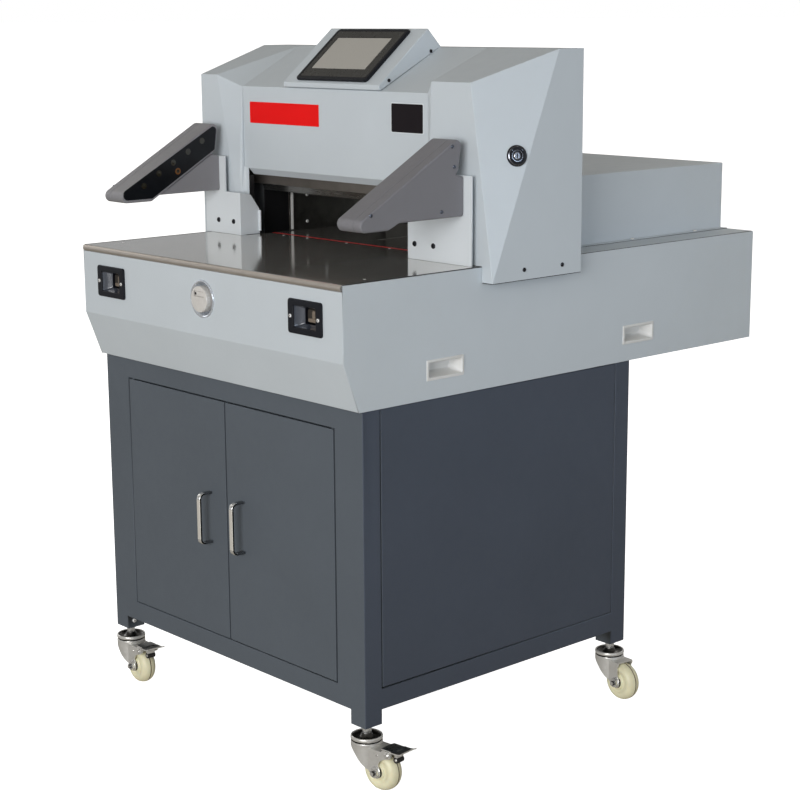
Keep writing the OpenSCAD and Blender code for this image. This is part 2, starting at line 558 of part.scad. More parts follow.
// ---------- light-barrier arms ----------
arm_l = [-411.8, -350.3]; arm_r = [298.3, 359.8]; br_y = 308;
nose = [[306.3, 1132, 11], [32.6, 976.5, 12.4]];
arm_pts = soft(concat([[131, 976.5, 12], [156, 987.3, 12], [br_y, 987.7, 5], [br_y, 1057.8, 5], [290.5, 1061.2, 0],
  [296.2, 1070, 6]], nose));
bar_pts = soft(concat([[137.6, 976.5, 10], [295.7, 1067.4, 6]], nose));
gus_pts = soft([[137.6, 978, 0], [156, 987.3, 0], [br_y, 987.7, 5], [br_y, 1057.8, 5], [293, 1060, 0], [291, 1064.4, 0]]);
win_pts = soft([[39.2, 981.9, 10.5], [138.7, 982.3, 5], [293.6, 1070.6, 4], [300.9, 1123.4, 8]]);
half = 19.7;                   // thickness of the outer half shell
// inner half shell: barrier bar and thinner gusset
module inner_half(x0, x1, x2) { ex(min(x0, x1), max(x0, x1), bar_pts); ex(min(x0, x2), max(x0, x2), gus_pts); }
module sensor_arms() color(armgrey) place() {
  inner_half(arm_l[0]+half, arm_l[1], arm_l[1]-4.2);
  inner_half(arm_r[1]-half, arm_r[0], arm_r[0]+4.2);
}
module arm_windows() color(dark) place() { ex(arm_l[1], arm_l[1]+1.5, win_pts); ex(arm_r[0]-1.5, arm_r[0], win_pts); }
module arm_covers() color(armgrey) place() { ex(arm_l[0], arm_l[0]+half, arm_pts); ex(arm_r[1]-half, arm_r[1], arm_pts); }
flange_pts = [[br_y+2.5, table_z+0.2], [357, table_z+0.2], [357, 950], [336, 980], [br_y+2.5, 985.5]];
br_l = [-360.5, -310.4]; br_zl = 926.5;
br_r = [231.9, 281.4]; br_zr = 928.5;
module arm_brackets() color([0.86, 0.87, 0.87]) place() {
  difference() {
    union() {
      ey(br_y, br_y+3, [[-403, table_z+0.2], [-288, table_z+0.2], [-288, 985.5], [-336, 985.5], [-336, 1057], [-385, 1057], [-385, 985.5], [-403, 985.5]]);
      ex(-290.5, -288, flange_pts);
      bx(-403, -400, br_y+2, col_y, table_z+0.2, 980);
    }
    for (x = br_l) cy(300, 320, x, br_zl, 3.3);
  }
  difference() {
    union() {
      ey(br_y, br_y+3, [[213.3, table_z+0.2], [379, table_z+0.2], [379, 1059], [322, 1059], [322, 985.5], [213.3, 985.5]]);
      ex(213.3, 215.8, flange_pts);
      // stand-offs to the column
      cy(br_y+2, col_y, br_r[1], br_zr, 8);
      bx(330, 350, br_y+2, col_y, 1020, 1050);
    }
    for (x = br_r) cy(300, 325, x, br_zr, 3.3);
  }
}
// ---------- key switch and screws ----------
module key_switch_ring() color(dark) place() on_facet() difference() {
  union() {
    cylinder(h = 3, r = 19);
    translate([0, 0, 2.9]) cylinder(h = 2, r1 = 17.5, r2 = 15.5);
    translate([0, 0, -11]) cylinder(h = 12, r = 13);
  }
  translate([0, 0, -2]) cylinder(h = 10, r = 11.05);
  translate([0, 0, -15]) cylinder(h = 20, r = 8.05);
}
module key_barrel() color([0.55, 0.55, 0.55]) place() on_facet() difference() {
  union() { translate([0, 0, -1.8]) cylinder(h = 5.6, r = 11); translate([0, 0, -14]) cylinder(h = 13, r = 8); }
  translate([-1, -5, 1.5]) cube([2, 10, 4]);
}
stud_z = 125.6;                // head of the bolt that locks each caster stem in its post
// pan head on a stub, axis +Z outward
module screw(r = 3.6, h = 1.8, l = 3) { cylinder(h = h*0.6, r = r); translate([0, 0, h*0.6]) cylinder(h = h*0.4, r1 = r, r2 = r*0.7); }
arm_screw = [[279.6, 1111], [284.6, 1075.7], [253.8, 999.4], [90.5, 1005.4]];
module cover_screws() color([0.8, 0.8, 0.78]) place() {
  for (y = [401, 500]) translate([right_x, y, 890]) rotate([0, 90, 0]) screw(4);
  for (y = [401, 500]) translate([left_x, y, 890]) rotate([0, -90, 0]) screw(4);
  for (p = [[463.5, 1268], [357, 1216.5]]) translate([con_x[1], p[0], p[1]]) rotate([0, 90, 0]) screw(3.4);
  for (p = [[463.5, 1268], [357, 1216.5]]) translate([con_x[0], p[0], p[1]]) rotate([0, -90, 0]) screw(3.4);
  for (p = arm_screw) translate([arm_r[1], p[0], p[1]]) rotate([0, 90, 0]) screw(3.4);
  for (p = arm_screw) translate([arm_l[0], p[0], p[1]]) rotate([0, -90, 0]) screw(3.4);
  for (s = [-1, 1], i = [-1, 1]) translate([s*btn_x+i*37, -4, btn_z]) rotate([90, 0, 0]) screw(3.2);
  for (s = [-1, 1], y = [620, 810, 1004]) translate([s*318, y, table_z+1.5]) screw(3.6);
  for (z = [916, 971], s = [-1, 1]) translate([s < 0 ? throat_l-1 : throat_r+1, 479, z]) rotate([0, -90*s, 0]) screw(3.2);
  for (i = [0:3]) at_post(i) translate([i % 2 == 0 ? -20 : 20, -4.7, stud_z]) rotate([0, i % 2 == 0 ? -90 : 90, 0]) screw(4.2, 3);
  for (x = concat(br_l, br_r)) { z = x < 0 ? br_zl : br_zr;
    translate([x, br_y, z]) rotate([90, 0, 0]) cylinder(h = 2.4, r = 5);
    translate([x, br_y, z]) rotate([-90, 0, 0]) cylinder(h = x == br_l[0] || x == br_r[1] ? 20 : 8, r = 3.2); }
}

cabinet_frame();
cabinet_panels();
caster_stems();
bed_front_panel();
bed_sides();
bed_rear_panel();
base_plate();
work_table();
cutting_stick();
rear_deck();
main_frame();
left_column_cover();
right_column_cover();
head_cover();
rear_cover();
console_housing();
touch_panel();
touch_screen();
arm_brackets();
sensor_arms();
arm_windows();
arm_covers();
handle_cups();
button_housings();
handwheel_dish();
key_switch_ring();
cover_screws();
red_plate();
dark_plate();
guide_pins();
drive_cylinders();
gauge_rails();
gauge_motor();
hydraulic_unit();
power_inlet();
knife_beam();
knife_blade();
knife_bolts();
clamp_beam();
back_gauge();
lead_screw();
handwheel();
handwheel_tab();
button_left();
button_right();
key_barrel();
door_left();
door_right();
door_handle_left();
door_handle_right();
caster_fork_fr();
caster_fork_fl();
caster_fork_rr();
caster_fork_rl();
wheel_fr();
wheel_fl();
wheel_rr();
wheel_rl();
brake_fr();
brake_fl();
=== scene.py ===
import bpy
import bmesh
import json
import math
from mathutils import Matrix, Vector


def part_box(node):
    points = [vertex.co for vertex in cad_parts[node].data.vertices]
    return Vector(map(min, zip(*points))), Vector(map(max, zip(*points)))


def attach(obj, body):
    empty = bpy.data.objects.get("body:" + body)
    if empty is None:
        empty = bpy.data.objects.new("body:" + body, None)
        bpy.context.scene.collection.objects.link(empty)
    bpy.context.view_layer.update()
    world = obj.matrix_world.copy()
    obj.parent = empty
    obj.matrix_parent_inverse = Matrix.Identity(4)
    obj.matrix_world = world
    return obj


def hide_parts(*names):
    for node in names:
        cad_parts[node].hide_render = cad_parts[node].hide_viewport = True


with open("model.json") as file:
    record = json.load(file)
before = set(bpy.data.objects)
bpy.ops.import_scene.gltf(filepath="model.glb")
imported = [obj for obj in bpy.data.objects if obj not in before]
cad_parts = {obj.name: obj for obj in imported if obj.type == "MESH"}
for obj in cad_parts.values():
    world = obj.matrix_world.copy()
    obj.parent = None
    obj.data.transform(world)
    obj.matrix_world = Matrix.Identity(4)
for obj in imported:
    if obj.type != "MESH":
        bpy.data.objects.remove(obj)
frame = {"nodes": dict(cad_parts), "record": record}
NODES = frame["nodes"]
BODY = {n: b for b, ns in frame["record"]["behaviour"]["bodies"].items() for n in ns}
SLOT = {s["node"]: s["material_slot"] for s in frame["record"]["subparts"]}
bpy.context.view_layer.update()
scene = bpy.context.scene

# working frame in mm: X right from the bed's middle, Y back from the bed's front, Z up
SX, SY = 20.12, 546.0


def W(p):
    return Vector(((p[0] - SX) / 1000, (p[1] - SY) / 1000, p[2] / 1000))


# ------------------------------------------------------------------ materials
def _mat(name):
    m = bpy.data.materials.new(name)
    m.use_nodes = True
    nt = m.node_tree
    for n in list(nt.nodes):
        nt.nodes.remove(n)
    out = nt.nodes.new("ShaderNodeOutputMaterial")
    bsdf = nt.nodes.new("ShaderNodeBsdfPrincipled")
    nt.links.new(bsdf.outputs[0], out.inputs[0])
    return m, nt, bsdf


def _coords(nt, scale=(1, 1, 1)):
    tc = nt.nodes.new("ShaderNodeTexCoord")
    mp = nt.nodes.new("ShaderNodeMapping")
    mp.inputs["Scale"].default_value = scale
    nt.links.new(tc.outputs["Object"], mp.inputs["Vector"])
    return mp.outputs["Vector"]


def _noise(nt, vec, scale, detail=3.0, rough=0.55, dist=0.0):
    n = nt.nodes.new("ShaderNodeTexNoise")
    n.inputs["Scale"].default_value = scale
    n.inputs["Detail"].default_value = detail
    n.inputs["Roughness"].default_value = rough
    n.inputs["Distortion"].default_value = dist
    nt.links.new(vec, n.inputs["Vector"])
    return n.outputs["Fac"]


def _ramp(nt, fac, stops):
    r = nt.nodes.new("ShaderNodeValToRGB")
    el = r.color_ramp.elements
    while len(el) < len(stops):
        el.new(0.5)
    for e, (pos, col) in zip(el, stops):
        e.position = pos
        e.color = (*col, 1.0)
    nt.links.new(fac, r.inputs["Fac"])
    return r.outputs["Color"]


def _range(nt, fac, lo, hi, a=0.3, b=0.7):
    r = nt.nodes.new("ShaderNodeMapRange")
    r.inputs["From Min"].default_value = a
    r.inputs["From Max"].default_value = b
    r.inputs["To Min"].default_value = lo
    r.inputs["To Max"].default_value = hi
    nt.links.new(fac, r.inputs["Value"])
    return r.outputs["Result"]


def _bump(nt, bsdf, height, strength, dist, chain=None):
    b = nt.nodes.new("ShaderNodeBump")
    b.inputs["Strength"].default_value = strength
    b.inputs["Distance"].default_value = dist
    nt.links.new(height, b.inputs["Height"])
    if chain is not None:
        nt.links.new(chain, b.inputs["Normal"])
    nt.links.new(b.outputs["Normal"], bsdf.inputs["Normal"])
    return b.outputs["Normal"]


def _mul(c, k):
    return tuple(min(1.0, x * k) for x in c)


def paint(name, base, rough=0.4, peel=900.0, strength=0.12, var=0.05, coat=0.0, speck=0.0, spec=0.5):
    """Sprayed or powder-coated sheet: slow tone drift, orange peel and an uneven sheen."""
    m, nt, b = _mat(name)
    v = _coords(nt)
    slow = _noise(nt, v, 4.5, 4.0, 0.6)
    col = _ramp(nt, slow, [(0.30, _mul(base, 1 - var)), (0.55, base), (0.75, _mul(base, 1 + var))])
    if speck > 0:
        fine = _noise(nt, v, 2600.0, 2.0, 0.7)
        mix = nt.nodes.new("ShaderNodeMix")
        mix.data_type = "RGBA"
        mix.blend_type = "MULTIPLY"
        mix.inputs["Factor"].default_value = speck
        nt.links.new(col, mix.inputs["A"])
        nt.links.new(_ramp(nt, fine, [(0.35, (0.45, 0.45, 0.45)), (0.6, (1, 1, 1))]), mix.inputs["B"])
        col = mix.outputs["Result"]
    nt.links.new(col, b.inputs["Base Color"])
    nt.links.new(_range(nt, _noise(nt, v, 38.0, 5.0, 0.65), rough - 0.06, rough + 0.07), b.inputs["Roughness"])
    _bump(nt, b, _noise(nt, v, peel, 2.0, 0.5), strength, 0.0004)
    b.inputs["Specular IOR Level"].default_value = spec
    if coat:
        b.inputs["Coat Weight"].default_value = coat
        b.inputs["Coat Roughness"].default_value = 0.15
    return m


def metal(name, base, rough=0.25, grain=(1, 1, 1), gscale=300.0, strength=0.06, var=0.08, mottle=0.0, aniso=0.0, rvar=0.07, metallic=1.0):
    """Bare metal: directional grain from a stretched noise, blotchy sheen and faint staining."""
    m, nt, b = _mat(name)
    b.inputs["Metallic"].default_value = metallic
    v = _coords(nt)
    g = _noise(nt, _coords(nt, grain), gscale, 4.0, 0.6)
    slow = _noise(nt, v, 22.0, 5.0, 0.65)
    col = _ramp(nt, slow, [(0.3, _mul(base, 1 - var)), (0.5, base), (0.72, _mul(base, 1 + var * 0.7))])
    mix = nt.nodes.new("ShaderNodeMix")
    mix.data_type = "RGBA"
    mix.blend_type = "MULTIPLY"
    mix.inputs["Factor"].default_value = 0.35 + mottle
    nt.links.new(col, mix.inputs["A"])
    nt.links.new(_ramp(nt, g, [(0.25, (0.72, 0.71, 0.70)), (0.65, (1, 1, 1))]), mix.inputs["B"])
    nt.links.new(mix.outputs["Result"], b.inputs["Base Color"])
    nt.links.new(_range(nt, g, rough - rvar, rough + rvar), b.inputs["Roughness"])
    _bump(nt, b, g, strength, 0.0002)
    b.inputs["Anisotropic"].default_value = aniso
    return m


def plastic(name, base, rough=0.4, tex=700.0, strength=0.12, var=0.07, sss=0.0, coat=0.0, spec=0.5, cloud=30.0):
    """Moulded plastic: fine spark-eroded texture, cloudy tone and scuffed sheen."""
    m, nt, b = _mat(name)
    v = _coords(nt)
    slow = _noise(nt, v, cloud, 4.0, 0.6)
    nt.links.new(_ramp(nt, slow, [(0.3, _mul(base, 1 - var)), (0.5, base), (0.72, _mul(base, 1 + var))]), b.inputs["Base Color"])
    nt.links.new(_range(nt, _noise(nt, v, 120.0, 5.0, 0.7), max(0.03, rough - 0.07), rough + 0.08), b.inputs["Roughness"])
    _bump(nt, b, _noise(nt, v, tex, 3.0, 0.6), strength, 0.0003)
    b.inputs["Specular IOR Level"].default_value = spec
    if sss:
        b.inputs["Subsurface Weight"].default_value = sss
        b.inputs["Subsurface Radius"].default_value = (0.004, 0.003, 0.002)
        b.inputs["Subsurface Scale"].default_value = 1.0
    if coat:
        b.inputs["Coat Weight"].default_value = coat
        b.inputs["Coat Roughness"].default_value = 0.05
    return m


PALE = paint("paint_pale", (0.553, 0.602, 0.640), 0.40, 850.0, 0.10, 0.025)
SLATE = paint("paint_slate", (0.098, 0.115, 0.136), 0.50, 700.0, 0.22, 0.05, speck=0.25, spec=0.32)
# darker, bluer copy of the slate paint for the cabinet's ±X side faces: painted shade, the same paint as the front
SLATE_SIDE_PAINTED_SHADE = paint("paint_slate_side", (0.068, 0.082, 0.111), 0.50, 700.0, 0.22, 0.05, speck=0.25, spec=0.30)
FRAMEP = paint("paint_frame", (0.075, 0.080, 0.085), 0.5, 600.0, 0.2, 0.08)
UNITP = paint("paint_unit", (0.055, 0.070, 0.095), 0.42, 600.0, 0.2, 0.06)
BRACKET = paint("paint_bracket", (0.68, 0.72, 0.75), 0.36, 850.0, 0.10, 0.02)
ARM = paint("arm_shell", (0.203, 0.200, 0.217), 0.47, 1100.0, 0.30, 0.05, speck=0.2)
# lighter copy of the arm paint for the left arm: painted light, the same shell colour as the right arm
ARM_LEFT_PAINTED_LIGHT = paint("arm_shell_left", (0.252, 0.249, 0.264), 0.47, 1100.0, 0.30, 0.05, speck=0.2)
TABLE = metal("table_polish", (0.70, 0.674, 0.636), 0.10, (18, 1, 1), 90.0, 0.012, 0.05, rvar=0.025, metallic=0.80)
NOSING = metal("nosing_satin", (0.60, 0.55, 0.505), 0.52, (1, 40, 40), 60.0, 0.03, 0.05)
ZINC = metal("zinc_plate", (0.72, 0.71, 0.68), 0.33, (1, 1, 1), 120.0, 0.015, 0.06, rvar=0.04, metallic=0.6)
NUTZ = metal("nut_bright", (0.80, 0.795, 0.78), 0.20, (1, 1, 1), 150.0, 0.02, 0.06, rvar=0.04, metallic=0.8)
# dark steel used as painted shade and dark reflection inside the caster seat dish and in the race gap; also the axle's
# threaded ends and the brake pivot bosses
RACE_DARK_AND_PAINTED_SHADE = metal("race_dark", (0.095, 0.093, 0.090), 0.30, (1, 1, 1), 160.0, 0.06, 0.2)
DARKSTEEL = metal("brake_steel", (0.30, 0.31, 0.31), 0.30, (1, 1, 1), 140.0, 0.08, 0.2, mottle=0.2)
CHROME = metal("chrome", (0.86, 0.87, 0.89), 0.07, (1, 1, 1), 60.0, 0.01, 0.03, rvar=0.02)
NICKEL = metal("satin_nickel", (0.78, 0.745, 0.68), 0.36, (60, 60, 1), 40.0, 0.03, 0.04, metallic=0.45)
DISC = metal("disc_satin", (0.80, 0.775, 0.74), 0.42, (1, 1, 1), 300.0, 0.02, 0.03, metallic=0.40)
RING = metal("ring_chrome", (0.76, 0.81, 0.88), 0.14, (1, 1, 1), 60.0, 0.01, 0.03, rvar=0.03, metallic=0.72)
TOOL = metal("tool_steel", (0.245, 0.222, 0.200), 0.36, (1, 30, 30), 40.0, 0.06, 0.12)
BLADE = metal("blade_ground", (0.30, 0.285, 0.265), 0.24, (1, 60, 60), 30.0, 0.05, 0.10)
GUIDE = metal("guide_dark", (0.125, 0.125, 0.120), 0.40, (1, 45, 1), 30.0, 0.08, 0.35, mottle=0.5)
CLAMP = metal("clamp_machined", (0.16, 0.16, 0.152), 0.40, (1, 25, 25), 50.0, 0.08, 0.12)
LOCK = metal("lock_barrel", (0.30, 0.315, 0.35), 0.24, (1, 1, 1), 200.0, 0.04, 0.08)
OXIDE = metal("black_oxide", (0.045, 0.045, 0.05), 0.38, (1, 1, 1), 250.0, 0.06, 0.2)
CREAM = plastic("wheel_nylon", (0.800, 0.762, 0.535), 0.38, 500.0, 0.10, 0.07, sss=0.15, cloud=45.0)
GROOVE = plastic("wheel_groove", (0.155, 0.115, 0.070), 0.6, 500.0, 0.2, 0.15)
BLACK = plastic("black_plastic", (0.009, 0.010, 0.014), 0.42, 900.0, 0.14, 0.12, spec=0.18)
# lighter blue-grey copy of the black button plastic for the funnel walls: painted sheen and highlight
FUNNEL_PAINTED_SHEEN = plastic("gloss_wall", (0.055, 0.064, 0.085), 0.20, 300.0, 0.02, 0.12, spec=1.0, coat=0.6)
BEZEL = plastic("bezel_overlay", (0.031, 0.031, 0.029), 0.30, 1100.0, 0.10, 0.10)
WINDOW = plastic("window_gloss", (0.008, 0.009, 0.011), 0.16, 60.0, 0.01, 0.15, spec=0.22)
RUBBER = plastic("brake_rubber", (0.013, 0.012, 0.012), 0.62, 600.0, 0.35, 0.2)
CUP = plastic("cup_white", (0.69, 0.69, 0.675), 0.40, 800.0, 0.12, 0.03)
# key brown darkened to stand for the shade inside the button well: painted shade
KEY_BROWN_PAINTED_SHADE = plastic("key_brown", (0.036, 0.030, 0.024), 0.36, 700.0, 0.14, 0.12)
SCREEN = plastic("screen_glass", (0.425, 0.410, 0.376), 0.34, 900.0, 0.004, 0.012, coat=0.1, cloud=8.0)
REDP = paint("plate_red", (0.850, 0.008, 0.008), 0.55, 500.0, 0.04, 0.06, spec=0.06)
DARKP = paint("plate_dark", (0.012, 0.009, 0.011), 0.50, 500.0, 0.05, 0.12, spec=0.08)
STICK = plastic("stick_red", (0.95, 0.050, 0.052), 0.38, 400.0, 0.15, 0.12)
SPOT = plastic("sensor_lens", (0.021, 0.019, 0.012), 0.16, 300.0, 0.04, 0.2, coat=0.4)
AMBER = plastic("sensor_amber", (0.150, 0.058, 0.014), 0.20, 300.0, 0.04, 0.2, coat=0.4)
SCREWD = metal("screw_blued", (0.20, 0.225, 0.285), 0.26, (1, 1, 1), 200.0, 0.04, 0.1)
SCREWW = metal("screw_bright", (0.90, 0.90, 0.885), 0.34, (1, 1, 1), 200.0, 0.03, 0.05, metallic=0.25)
# near-black paint laid on throat faces that sit in shade: painted shade
THROAT_PAINTED_SHADE = paint("throat_black", (0.012, 0.012, 0.013), 0.45, 600.0, 0.1, 0.15, spec=0.25)
# lighter copy of the key brown for the finger pad and ledge: painted light
KEY_LEDGE_PAINTED_LIGHT = plastic("key_ledge", (0.200, 0.160, 0.122), 0.36, 700.0, 0.14, 0.12)
LEG = metal("bow_leg", (0.26, 0.265, 0.275), 0.24, (1, 1, 1), 150.0, 0.04, 0.15)
# near-black metal on the handle bar's sides and back: painted shadow and dark reflection
BAR_PAINTED_SHADOW = metal("bar_shadow_side", (0.030, 0.033, 0.036), 0.30, (1, 1, 1), 150.0, 0.04, 0.2)
GREYP = plastic("label_grey", (0.30, 0.31, 0.32), 0.4, 500.0, 0.06, 0.06)

NODE_MAT = {
    "slate_paint": SLATE, "pale_paint": PALE, "frame_paint": FRAMEP, "table_steel": TABLE, "tool_steel": TOOL,
    "clamp_iron": CLAMP, "zinc_plate": ZINC, "brake_steel": DARKSTEEL, "black_plastic": BLACK,
    "window_black": WINDOW, "cup_white": CUP, "arm_grey": ARM, "bracket_white": BRACKET, "chrome_trim": CHROME,
    "satin_nickel": NICKEL, "wheel_cream": CREAM, "key_brown": KEY_BROWN_PAINTED_SHADE, "screen_glass": SCREEN, "plate_red": REDP,
    "plate_dark": DARKP, "stick_red": STICK, "lock_metal": LOCK, "unit_paint": UNITP,
}


# ------------------------------------------------------------------ mesh tools
class Geo:
    """Vertices and faces in working-frame mm, with a material index per face."""

    def __init__(self):
        self.v, self.f, self.m = [], [], []

    def add(self, verts, faces, mat=0):
        o = len(self.v)
        self.v += [Vector(p) for p in verts]
        self.f += [[i + o for i in f] for f in faces]
        self.m += [mat] * len(faces)

    def rings(self, rings, mats=0, cap0=True, cap1=True):
        """Joins closed rings of equal length into a skin, capped at both ends."""
        n = len(rings[0])
        o = len(self.v)
        for r in rings:
            self.v += [Vector(p) for p in r]
        for k in range(len(rings) - 1):
            mk = mats[k] if isinstance(mats, (list, tuple)) else mats
            for i in range(n):
                j = (i + 1) % n
                self.f.append([o + k * n + i, o + k * n + j, o + (k + 1) * n + j, o + (k + 1) * n + i])
                self.m.append(mk)
        first = mats[0] if isinstance(mats, (list, tuple)) else mats
        last = mats[-1] if isinstance(mats, (list, tuple)) else mats
        if cap0:
            self.f.append([o + i for i in range(n)][::-1])
            self.m.append(first)
        if cap1:
            self.f.append([o + (len(rings) - 1) * n + i for i in range(n)])
            self.m.append(last)

    def lathe(self, prof, origin, frame3, seg=48, mats=0):
        """Turns (radius, height) points about frame3's third axis; radius 0 closes to a point."""
        u, v, w = frame3
        o = Vector(origin)
        base = len(self.v)
        idx = []
        for r, h in prof:
            if r < 1e-6:
                idx.append([len(self.v)])
                self.v.append(o + w * h)
            else:
                idx.append(list(range(len(self.v), len(self.v) + seg)))
                for k in range(seg):
                    a = 2 * math.pi * k / seg
                    self.v.append(o + w * h + (u * math.cos(a) + v * math.sin(a)) * r)
        for k in range(len(prof) - 1):
            mk = mats[k] if isinstance(mats, (list, tuple)) else mats
            A, B = idx[k], idx[k + 1]
            for i in range(seg):
                j = (i + 1) % seg
                if len(A) == 1 and len(B) == 1:
                    continue
                if len(A) == 1:
                    self.f.append([A[0], B[j], B[i]])
                elif len(B) == 1:
                    self.f.append([A[i], A[j], B[0]])
                else:
                    self.f.append([A[i], A[j], B[j], B[i]])
                self.m.append(mk)
        return base


def axes(w, hint=(0, 0, 1)):
    w = Vector(w).normalized()
    h = Vector(hint)
    if abs(w.dot(h.normalized())) > 0.95:
        h = Vector((1, 0, 0))
    u = h.cross(w).normalized()
    return u, w.cross(u).normalized(), w


AX_X, AX_Y, AX_Z = axes((1, 0, 0)), axes((0, 1, 0)), (Vector((1, 0, 0)), Vector((0, 1, 0)), Vector((0, 0, 1)))


def rrect(w, h, r, seg=6, cx=0.0, cy=0.0):
    """Rounded rectangle, counter-clockwise, always 4*(seg+1) points."""
    pts = []
    for sx, sy, a0 in ((1, -1, -90), (1, 1, 0), (-1, 1, 90), (-1, -1, 180)):
        for k in range(seg + 1):
            a = math.radians(a0 + 90 * k / seg)
            pts.append((cx + sx * (w / 2 - r) + r * math.cos(a), cy + sy * (h / 2 - r) + r * math.sin(a)))
    return pts


def round_poly(corners, seg=7):
    """Polygon corners (x, y, radius) turned into an outline with true fillets."""
    out = []
    n = len(corners)
    for i in range(n):
        p = Vector(corners[i][:2])
        a = Vector(corners[i - 1][:2])
        b = Vector(corners[(i + 1) % n][:2])
        r = corners[i][2]
        d1, d2 = (a - p).normalized(), (b - p).normalized()
        ang = d1.angle(d2)
        if r <= 0 or abs(math.pi - ang) < 1e-3:
            out.append(tuple(p))
            continue
        t = r / math.tan(ang / 2)
        c = p + (d1 + d2).normalized() * (r / math.sin(ang / 2))
        s, e = p + d1 * t - c, p + d2 * t - c
        a0 = math.atan2(s.y, s.x)
        da = math.atan2(e.y, e.x) - a0
        while da > math.pi:
            da -= 2 * math.pi
        while da < -math.pi:
            da += 2 * math.pi
        for k in range(seg + 1):
            q = a0 + da * k / seg
            out.append((c.x + r * math.cos(q), c.y + r * math.sin(q)))
    return out


def inset(pts, d):
    """Moves a counter-clockwise outline inward by d."""
    n = len(pts)
    out = []
    for i in range(n):
        p, a, b = Vector(pts[i]), Vector(pts[i - 1]), Vector(pts[(i + 1) % n])
        e1, e2 = (p - a), (b - p)
        if e1.length < 1e-9:
            e1 = e2
        if e2.length < 1e-9:
            e2 = e1
        n1 = Vector((-e1.y, e1.x)).normalized()
        n2 = Vector((-e2.y, e2.x)).normalized()
        m = n1 + n2
        if m.length < 1e-6:
            m = n1
        m.normalize()
        k = d / max(0.35, m.dot(n1))
        out.append((p.x + m.x * k, p.y + m.y * k))
    return out


def plane_pts(pts, o, a, b, n, h):
    """2-D points on the plane through o spanned by a and b, lifted by h along n."""
    o, a, b, n = Vector(o), Vector(a), Vector(b), Vector(n)
    return [o + a * p[0] + b * p[1] + n * h for p in pts]


def slab(g, pts, fr, prof, mats=0):
    """Outline raised along fr's normal through a list of (inset, height)."""
    o, a, b, n = fr
    g.rings([plane_pts(inset(pts, d) if abs(d) > 1e-9 else pts, o, a, b, n, h) for d, h in prof], mats)


def edge_prof(h0, h1, r, seg=3, r0=None):
    """Profile of a slab with rounded rims of radius r at h1 and r0 at h0."""
    r0 = r if r0 is None else r0
    p = []
    for k in range(seg + 1):
        a = math.pi / 2 * k / seg
        p.append((r0 * (1 - math.sin(a)), h0 + r0 * (1 - math.cos(a))))
    for k in range(seg + 1):
        a = math.pi / 2 * k / seg
        p.append((r * (1 - math.cos(a)), h1 - r * (1 - math.sin(a))))
    return p


FX = ((0, 0, 0), (0, 1, 0), (0, 0, 1), (1, 0, 0))       # outline in Y,Z, raised along +X
FXN = ((0, 0, 0), (0, -1, 0), (0, 0, 1), (-1, 0, 0))    # outline in -Y,Z, raised along -X
FYN = ((0, 0, 0), (1, 0, 0), (0, 0, 1), (0, -1, 0))     # outline in X,Z, raised along -Y


def sweep(g, path, r, seg=20, mat=0):
    rings = []
    n = len(path)
    for i, p in enumerate(path):
        t = (Vector(path[min(i + 1, n - 1)]) - Vector(path[max(i - 1, 0)])).normalized()
        u, v, _ = axes(t, (1, 0, 0))
        rr = r(i / (n - 1)) if callable(r) else r
        rings.append([Vector(p) + (u * math.cos(a) + v * math.sin(a)) * rr for a in (2 * math.pi * k / seg for k in range(seg))])
    g.rings(rings, mat)


def finish_mesh(me, sharp_deg):
    bm = bmesh.new()
    bm.from_mesh(me)
    bmesh.ops.remove_doubles(bm, verts=bm.verts, dist=1e-7)
    bmesh.ops.recalc_face_normals(bm, faces=bm.faces)
    lim = math.radians(sharp_deg)
    for e in bm.edges:
        e.smooth = not (len(e.link_faces) != 2 or e.calc_face_angle(0.0) > lim)
    for f in bm.faces:
        f.smooth = True
    bm.to_mesh(me)
    bm.free()


def build(name, g, mats, body, replaces=(), sharp=32, weighted=True):
    me = bpy.data.meshes.new(name)
    me.from_pydata([W(p) for p in g.v], [], g.f)
    for m in mats:
        me.materials.append(m)
    me.polygons.foreach_set("material_index", g.m)
    finish_mesh(me, sharp)
    o = bpy.data.objects.new(name, me)
    scene.collection.objects.link(o)
    if weighted:
        wn = o.modifiers.new("normals", "WEIGHTED_NORMAL")
        wn.keep_sharp = True
    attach(o, body)
    if replaces:
        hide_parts(*replaces)
    return o


